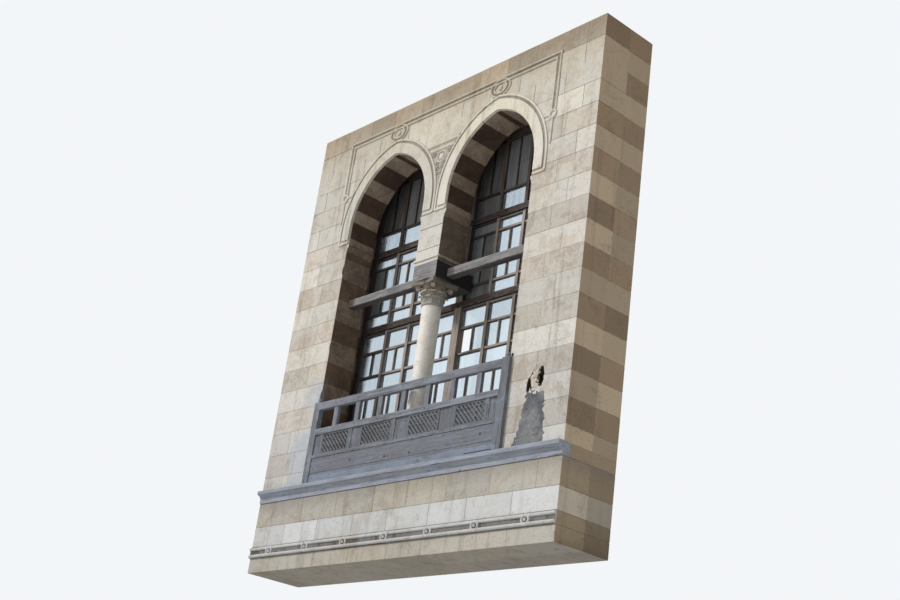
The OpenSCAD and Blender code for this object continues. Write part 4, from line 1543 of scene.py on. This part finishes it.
class LOGGIA_OT_column(bpy.types.Operator):
    """Dress the marble base and shaft, and carve the capital's leaves, volutes and flowers"""

    bl_idname = "loggia.column"
    bl_label = "Column"

    # Height, reach and rise of the two rows of leaves, then where volutes and flowers stand: out from the axis and up.
    rows = ((0.125, 0.135, 0.016), (0.125, 0.142, 0.095))
    volute_out, volute_up, flower_out, flower_up = 0.205, 0.245, 0.182, 0.298

    def execute(self, context):
        nodes = {"column_base": "marble", "column_shaft": "marble", "column_capital": "limestone_tan"}
        for i, (node, slot) in enumerate(nodes.items()):
            self.finish(copy_stone(node), 91 + i, slot, node)
        for number, (height, reach, rise) in enumerate(self.rows):
            turns = [(0, 0, math.radians(45 * k + 22.5 * number)) for k in range(8)]
            spots = [(0, AXIS_Y, CAPITAL_Z + rise)] * 8
            leaves = scatter(self.leaf(height, reach), spots, f"capital_leaves_{number + 1}", turns)
            bpy.ops.object.shade_smooth_by_angle(angle=math.radians(60))
            self.finish(leaves, 94 + number, "limestone_tan")
        spots, turns = [], []
        for k in range(4):
            a = math.radians(45 + 90 * k)
            for beside in (-0.022, 0.022):
                x = self.volute_out * math.cos(a) - beside * math.sin(a)
                y = AXIS_Y + self.volute_out * math.sin(a) + beside * math.cos(a)
                spots.append((x, y, CAPITAL_Z + self.volute_up))
                turns.append((0, 0, a))
        volutes = scatter(scroll_model(), spots, "capital_volutes", turns, [(0.033, 0.045, 0.033)] * 8)
        self.finish(volutes, 96, "limestone_tan")
        out, up = self.flower_out, CAPITAL_Z + self.flower_up
        spots = [(out * math.sin(a), AXIS_Y - out * math.cos(a), up) for a in QUARTERS]
        flowers = scatter(self.flower(), spots, "capital_flowers", [(0, 0, a) for a in QUARTERS])
        self.finish(flowers, 97, "limestone_tan")
        return {"FINISHED"}

    def finish(self, piece, seed, slot, *nodes):
        """Marks the wear; on the capital, grime with painted shade, darkest near the bell, on undersides and on the
        abacus, and a skin less bleached and blackened towards the top: painted shade.
        """
        mark_wear(piece, seed, 0.0015, 0.5, 0.15)
        if slot != "marble":
            centres = face_centres(piece)
            out = np.hypot(centres[:, 0], centres[:, 1] - AXIS_Y)
            under = face_normals(piece)[:, 2] < -0.5
            rise = (centres[:, 2] - CAPITAL_Z) / 0.33
            soil = np.clip((0.168 - out) / 0.03, 0, 1) * np.clip(rise * 1.6, 0.35, 1) * (rise < 0.82)
            mark_faces(piece, "soil", np.maximum(soil, np.where(rise > 0.84, 0.38, 0.45 * under)))
            mark_faces(piece, "bleach", np.clip(1.05 - 0.9 * rise, 0.2, 1))
            mark_faces(piece, "soot", np.where(rise > 0.8, 0.5, 0.12))
        paint_parts(piece, [marble_material() if slot == "marble" else stone("capital")])
        carry(piece, slot, *nodes)

    def leaf(self, height, reach):
        """One acanthus leaf: a grid with lobes and a midrib, laid on the bell and curled over at its tip."""
        piece = start_piece("leaf")
        across, up = 14, 18
        bpy.ops.mesh.primitive_grid_add(x_subdivisions=across, y_subdivisions=up, size=2, location=(0, 0, 0))
        object_mode()
        steps = np.linspace(0, 1, 61)
        lean = np.radians(6 + 150 * np.clip((steps - 0.55) / 0.45, 0, 1) ** 1.6)
        path_up = np.concatenate(([0], np.cumsum(np.cos(lean))[:-1])) / 60 * height * 1.25
        path_out = np.concatenate(([0], np.cumsum(np.sin(lean))[:-1])) / 60 * height * 1.25
        for point in piece.data.vertices:
            u, v = point.co.x, (point.co.y + 1) / 2
            lobes = 1 - 0.30 * abs(math.sin(2.5 * math.pi * v)) * (v < 0.97)
            belly = 0.62 + 0.38 * math.sin(math.pi * min(1, v * 1.1))
            turn = u * math.radians(21) * belly * lobes * (1 - 0.45 * max(0, v - 0.75) * 4)
            ridge = 0.007 * math.exp(-((u / 0.16) ** 2)) + 0.004 * abs(u) * math.cos(5 * math.pi * (v - 0.35 * abs(u)))
            out = reach + float(np.interp(v, steps, path_out)) + ridge - 0.006 * u * u
            point.co = (out * math.sin(turn), -out * math.cos(turn), float(np.interp(v, steps, path_up)))
        apply_modifier(piece, "SOLIDIFY", thickness=0.007, offset=-1)
        edit_mode()
        close_piece()
        return piece

    def flower(self):
        """A boss with six petals."""
        piece = start_piece("flower")
        add_ball((0, -0.004, 0), (0.011, 0.011, 0.011), 10, 6)
        for k in range(6):
            add_ball((0, 0, 0), (0.0085, 0.007, 0.015), 8, 5)
            bpy.ops.transform.translate(value=(0, 0, 0.018))
            bpy.ops.transform.rotate(value=math.radians(60 * k), orient_axis="Y", center_override=(0, 0, 0))
        close_piece()
        return piece


# ---- Timber and glass ----


def mark_grain(piece):
    """Marks the faces whose member stands upright, so that the grain runs along it."""
    mesh = piece.data
    upright = np.zeros(len(mesh.polygons))
    for i, face in enumerate(mesh.polygons):
        corners = np.array([mesh.vertices[v].co for v in face.vertices])
        span = corners.max(0) - corners.min(0)
        upright[i] = span[2] > max(span[0], span[1]) * 1.02
    mark_faces(piece, "upright", upright)


def score(piece, cuts):
    """Cuts shallow joints into the front of a timber. Each cut is x0, x1, z0, z1 and its depth."""
    front = min(corner[1] for corner in piece.bound_box)
    cutter = start_piece("score_cutter")
    for x0, x1, z0, z1, depth in cuts:
        deselect()
        add_block(x0, x1, front - 0.02, front + depth, z0, z1)
    close_piece()
    cut_away(piece, cutter)


def dress_timber(node, slot, kind, seed, edge, soil=None):
    """A rounded copy of one timber node, with its grain, and darkened with painted shade where the given function of
    centres and normals says.
    """
    piece = copy_node(node, node + "_timber", 0.5)
    mark_grain(piece)
    round_edges(piece, edge, 2, 40)
    darkened = soil(face_centres(piece), face_normals(piece)) if soil else None
    finish_piece(piece, slot, wood(kind), seed, edge, node, soil=darkened)


def under_beams(centres, normals):
    """Painted shade under the tie bars, and on the block's sides behind the wall face."""
    sides = (np.abs(normals[:, 0]) > 0.5) & (np.abs(centres[:, 0]) < PIER_X + 0.01)
    return np.clip(1.0 * sides + 0.65 * (normals[:, 2] < -0.5), 0, 1)


def behind_reveals(centres, normals):
    """Painted shade on the undersides and sides of the screen's bars, on its deeper bars and in the corners beside the
    reveals, but not on its back.
    """
    x, z = centres[:, 0], centres[:, 2]
    outer = np.clip((-1.60 - x) / 0.16, 0, 1)
    inner = np.clip((0.50 - x) / 0.12, 0, 1) * (x > 0.0) * np.clip((z - 3.3) / 0.3, 0, 1)
    deep = 0.35 * (centres[:, 1] > SCREEN_FRONT + 0.010)
    under = 0.3 * (np.abs(normals[:, 1]) < 0.5) + 0.3 * (normals[:, 2] < -0.5)
    return np.clip(0.8 * np.maximum(outer, inner) + deep + under, 0, 0.9) * (normals[:, 1] < 0.5)


def second_layer(centres, normals):
    """Painted shade on the laths that lie behind the first layer of a lattice."""
    front = centres[:, 1].min()
    return 0.5 * (centres[:, 1] > front + 0.0095) * (np.abs(normals[:, 1]) > 0.5) * (centres[:, 1] < front + 0.016)


class LOGGIA_OT_beams(bpy.types.Operator):
    """Dress the pier block and the tie bars"""

    bl_idname = "loggia.beams"
    bl_label = "Beams"

    def execute(self, context):
        for i, node in enumerate(("pier_block", "left_tie_bar", "right_tie_bar")):
            dress_timber(node, "beam_timber", "beam", 101 + i, timber().edge * 1.5, under_beams)
        return {"FINISHED"}


class LOGGIA_OT_balustrade(bpy.types.Operator):
    """Dress the ledge, the rails, posts, boards and lattice of the balustrade"""

    bl_idname = "loggia.balustrade"
    bl_label = "Balustrade"

    def execute(self, context):
        made = {
            "ledge": "ledge", "base_board": "base", "bottom_rail": "rail", "middle_rail": "rail", "top_rail": "rail",
            "left_end_post": "rail", "right_end_post": "board", "balusters": "rail", "panel_boards": "board",
            **{f"lattice_panel_{i}": "lath" for i in range(1, 5)},
        }
        for i, (node, kind) in enumerate(made.items()):
            edge, soil = (timber().lath_edge, second_layer) if kind == "lath" else (timber().edge, None)
            dress_timber(node, "weathered_timber", kind, 111 + i, edge, soil)
        seam, gap = (-1.8, 1.8, 1.231, 1.237, 0.008), (1.26, 1.8, 1.122, 1.134, 0.02)
        score(bpy.data.objects["base_board_timber"], [seam, gap])
        joints = (-1.655, -0.935, -0.83, 0.01, 0.09, 0.83, 0.92, 1.64)
        score(bpy.data.objects["panel_boards_timber"], [(x - 0.0025, x + 0.0025, 1.47, 1.77, 0.006) for x in joints])
        self.nails()
        return {"FINISHED"}

    def nails(self):
        """Domed nail heads in the base board and the rails, and a bolt beside the top rail's end."""
        size = timber().nail
        head = start_piece("nail_head")
        add_ball((0, 0, 0), (size, size * 0.45, size), 10, 6)
        close_piece()
        spots = [(x, BOARD_FRONT, z) for x, z in (
            (-0.903, 1.329), (-0.206, 1.284), (0.264, 1.274), (1.5, 1.339), (-1.68, 1.30), (-1.66, 1.17), (1.66, 1.18),
            (-0.55, 1.40), (0.86, 1.41), (-1.30, 1.18),
        )]
        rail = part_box("middle_rail")[0].y
        for i in range(-3, 4):
            spots += [(i * 0.455 + dx, rail, z) for dx, z in ((0.006, 1.80), (-0.008, 2.16))]
        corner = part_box("right_end_post")[1]
        spots.append((corner.x, corner.y - 0.028, corner.z - 0.035))
        scales = [(2.1, 1.3, 2.1)] * 4 + [(1, 1, 1)] * (len(spots) - 5) + [(1.2, 5.0, 2.8)]
        nails = scatter(head, spots, "balustrade_nails", scales=scales)
        finish_piece(nails, "weathered_timber", iron_material(), 127, 0.0005)


class LOGGIA_OT_screen(bpy.types.Operator):
    """Dress the frames of the screen"""

    bl_idname = "loggia.screen"
    bl_label = "Screen"

    def execute(self, context):
        members = {
            "screen_sill": "frame", "screen_head": "upper", "left_stile": "frame", "right_stile": "frame",
            "screen_post": "frame", "lower_transom": "transom", "upper_transom": "transom",
            "left_lower_sashes": "frame", "right_lower_sashes": "frame", "left_middle_sashes": "frame",
            "right_middle_sashes": "frame", "left_upper_lights": "upper", "right_upper_lights": "upper",
        }
        for i, (node, kind) in enumerate(members.items()):
            dress_timber(node, "screen_timber", kind, 141 + i, timber().edge * 0.6, behind_reveals)
        return {"FINISHED"}


class LOGGIA_OT_panes(bpy.types.Operator):
    """Set the panes, each a little out of true"""

    bl_idname = "loggia.panes"
    bl_label = "Panes"

    # Across the bay: the panes in the shade of the pier, those beside the left reveal, and how high both begin. Their
    # darkness is painted shade.
    pier_shade, reveal_shade, shade_foot = (0.05, 0.58), -1.82, 3.5

    def execute(self, context):
        rng = random.Random(90)
        for word in ("left", "right"):
            piece = copy_node(word + "_glass", word + "_panes")
            mesh = piece.data
            parts = islands(mesh)
            middles, _ = part_centres(mesh, parts)
            edit_mode()
            bpy.ops.mesh.select_mode(type="FACE")
            for number, middle in enumerate(middles):
                object_mode()
                select_faces(mesh, parts == number)
                edit_mode()
                for axis in ("X", "Z"):
                    bpy.ops.transform.rotate(
                        value=rng.uniform(-1, 1) * timber().pane_tilt, orient_axis=axis, center_override=tuple(middle)
                    )
            object_mode()
            dim = [self.sooted_and_shaded(m) for m in middles]
            # Panes beside the left reveal and high up get a thicker film: painted shade.
            shaded = [0.25 if m[0] < -1.55 or m[2] > 4.2 else 0.0 for m in middles]
            film = np.array([
                self.soot(m, rng) if d else s + rng.uniform(0.05, 0.4)
                for m, s, d in zip(middles, shaded, dim)
            ])
            mark_faces(piece, "film", film[parts])
            mark_wear(piece, 161 + len(word), 0.0001)
            # Dark glass for the shaded panes: painted shade.
            film_over = glass_material("sooty_and_shaded_pane_glass", 0.05, (0.088, 0.079, 0.074), 0.85)
            paint_parts(piece, [glass_material(), film_over], lambda m, p: int(self.sooted_and_shaded(m)))
            carry(piece, "pane_glass", word + "_glass")
        return {"FINISHED"}

    def sooted_and_shaded(self, middle):
        """The panes under the arches, in the shade of the pier and behind the lattice are nearly black: painted shade.
        """
        if middle[2] > SOOT_AND_SHADE_ABOVE or middle[2] < SOOT_AND_SHADE_BELOW:
            return True
        near, far = self.pier_shade
        return (near < middle[0] < far or middle[0] < self.reveal_shade) and middle[2] > self.shade_foot

    def soot(self, middle, rng):
        """How dark the painted shade lies on a darkened pane: less where the arch lets the light in."""
        if middle[2] < SOOT_AND_SHADE_ABOVE:
            return rng.uniform(0.80, 0.97)
        return 1.0 if middle[0] < -1.58 or -0.6 < middle[0] < self.pier_shade[1] else rng.uniform(0.84, 0.92)


# ---- Stage ----


class LOGGIA_OT_stage(bpy.types.Operator):
    """Set the floor, the soft light and the camera"""

    bl_idname = "loggia.stage"
    bl_label = "Stage"

    place: bpy.props.FloatVectorProperty(
        name="Camera Place", description="Where the camera stands", subtype="XYZ", default=(12.769, -10.3875, -3.219)
    )
    aim: bpy.props.FloatVectorProperty(
        name="Aim", description="What the camera looks at", subtype="XYZ", default=(0.363, -0.2, 3.33)
    )

    def execute(self, context):
        scene = context.scene
        stage = scene.stage_sizes
        self.floor()
        self.world(stage.sky)
        lamp = bpy.data.lights.new("soft_key", "SUN")
        lamp.energy = stage.sun
        lamp.angle = math.radians(10)
        key = bpy.data.objects.new("soft_key", lamp)
        scene.collection.objects.link(key)
        key.rotation_mode = "QUATERNION"
        key.rotation_quaternion = Vector((0.62, 0.95, -1.0)).to_track_quat("-Z", "Y")
        camera = bpy.data.objects.new("camera", bpy.data.cameras.new("camera"))
        scene.collection.objects.link(camera)
        camera.location = self.place
        camera.rotation_mode = "QUATERNION"
        view = (Vector(self.aim) - Vector(self.place)).to_track_quat("-Z", "Y")
        camera.rotation_quaternion = view @ Quaternion((0, 0, 1), stage.roll)
        camera.data.lens = stage.lens
        camera.data.sensor_width = 36
        camera.data.clip_end = 200
        scene.camera = camera
        scene.view_settings.view_transform = "Standard"
        return {"FINISHED"}

    def floor(self):
        """A pale floor that is seen from above only."""
        bpy.ops.object.select_all(action="DESELECT")
        bpy.ops.mesh.primitive_plane_add(size=80, location=(0, 0, 0))
        floor = bpy.context.object
        floor.name = "floor"
        edit_mode()
        bpy.ops.mesh.inset(thickness=0.5)
        bpy.ops.transform.resize(value=(2 * HALF_W / 79, (WALL_BACK - FACE) / 79, 1), center_override=(0, 0, 0))
        bpy.ops.transform.translate(value=(0, (FACE + WALL_BACK) / 2, 0))
        bpy.ops.mesh.delete(type="FACE")
        object_mode()
        material, bench, shader, place = new_material("pale_floor")
        shader.inputs["Base Color"].default_value = (0.80, 0.79, 0.77, 1)
        shader.inputs["Roughness"].default_value = 0.9
        clear = bench.node("BsdfTransparent").outputs[0]
        below = bench.node("NewGeometry").outputs["Backfacing"]
        seen = bench.node("MixShader", {0: below, 1: shader.outputs[0], 2: clear}).outputs[0]
        bench.wire(material.node_tree.nodes["Material Output"].inputs["Surface"], seen)
        floor.data.materials.append(material)

    def world(self, strength):
        """An even sky that looks nearly white where it is seen."""
        world = bpy.data.worlds.new("soft_sky")
        bpy.context.scene.world = world
        world.use_nodes = True
        bench = Bench(world.node_tree)
        light = world.node_tree.nodes["Background"]
        light.inputs["Color"].default_value = (0.97, 0.985, 1.0, 1)
        light.inputs["Strength"].default_value = strength
        shown = bench.node("Background", {"Color": (0.90, 0.92, 0.94, 1), "Strength": 1.0})
        path = bench.node("LightPath").outputs
        through = bench.calc("MAXIMUM", path["Is Glossy Ray"], path["Is Transmission Ray"])
        seen = bench.calc("MAXIMUM", path["Is Camera Ray"], through)
        mixed = bench.node("MixShader", {0: seen, 1: light.outputs[0], 2: shown.outputs[0]}).outputs[0]
        bench.wire(world.node_tree.nodes["World Output"].inputs["Surface"], mixed)


# ---- Panel and run ----

PIECES = (
    LOGGIA_OT_jambs, LOGGIA_OT_spandrels, LOGGIA_OT_rings, LOGGIA_OT_pier, LOGGIA_OT_apron, LOGGIA_OT_joints,
    LOGGIA_OT_mouldings, LOGGIA_OT_grooves, LOGGIA_OT_carving, LOGGIA_OT_repairs, LOGGIA_OT_column, LOGGIA_OT_beams,
    LOGGIA_OT_balustrade, LOGGIA_OT_screen, LOGGIA_OT_panes, LOGGIA_OT_stage,
)
GROUPS = {
    "masonry_sizes": MasonrySizes, "timber_sizes": TimberSizes, "finishes": Finishes, "stage_sizes": StageSizes,
}


class LOGGIA_PT_panel(bpy.types.Panel):
    """Lists the sizes, the colours and the pieces"""

    bl_idname = "LOGGIA_PT_panel"
    bl_label = "Loggia Bay"
    bl_space_type = "VIEW_3D"
    bl_region_type = "UI"
    bl_category = "Loggia Bay"

    def draw(self, context):
        layout = self.layout
        for name, group in GROUPS.items():
            box = layout.box()
            for key in group.__annotations__:
                box.prop(getattr(context.scene, name), key)
        for piece in PIECES:
            layout.operator(piece.bl_idname)


def register():
    """Registers the settings, the operators and the panel."""
    for name, group in GROUPS.items():
        bpy.utils.register_class(group)
        setattr(bpy.types.Scene, name, bpy.props.PointerProperty(type=group))
    for piece in PIECES:
        bpy.utils.register_class(piece)
    bpy.utils.register_class(LOGGIA_PT_panel)


def unregister():
    """Takes them out again."""
    bpy.utils.unregister_class(LOGGIA_PT_panel)
    for piece in reversed(PIECES):
        bpy.utils.unregister_class(piece)
    for name, group in GROUPS.items():
        delattr(bpy.types.Scene, name)
        bpy.utils.unregister_class(group)


def main():
    """Builds every piece in order."""
    register()
    for piece in PIECES:
        category, name = piece.bl_idname.split(".")
        getattr(getattr(bpy.ops, category), name)()


if __name__ == "__main__":
    main()
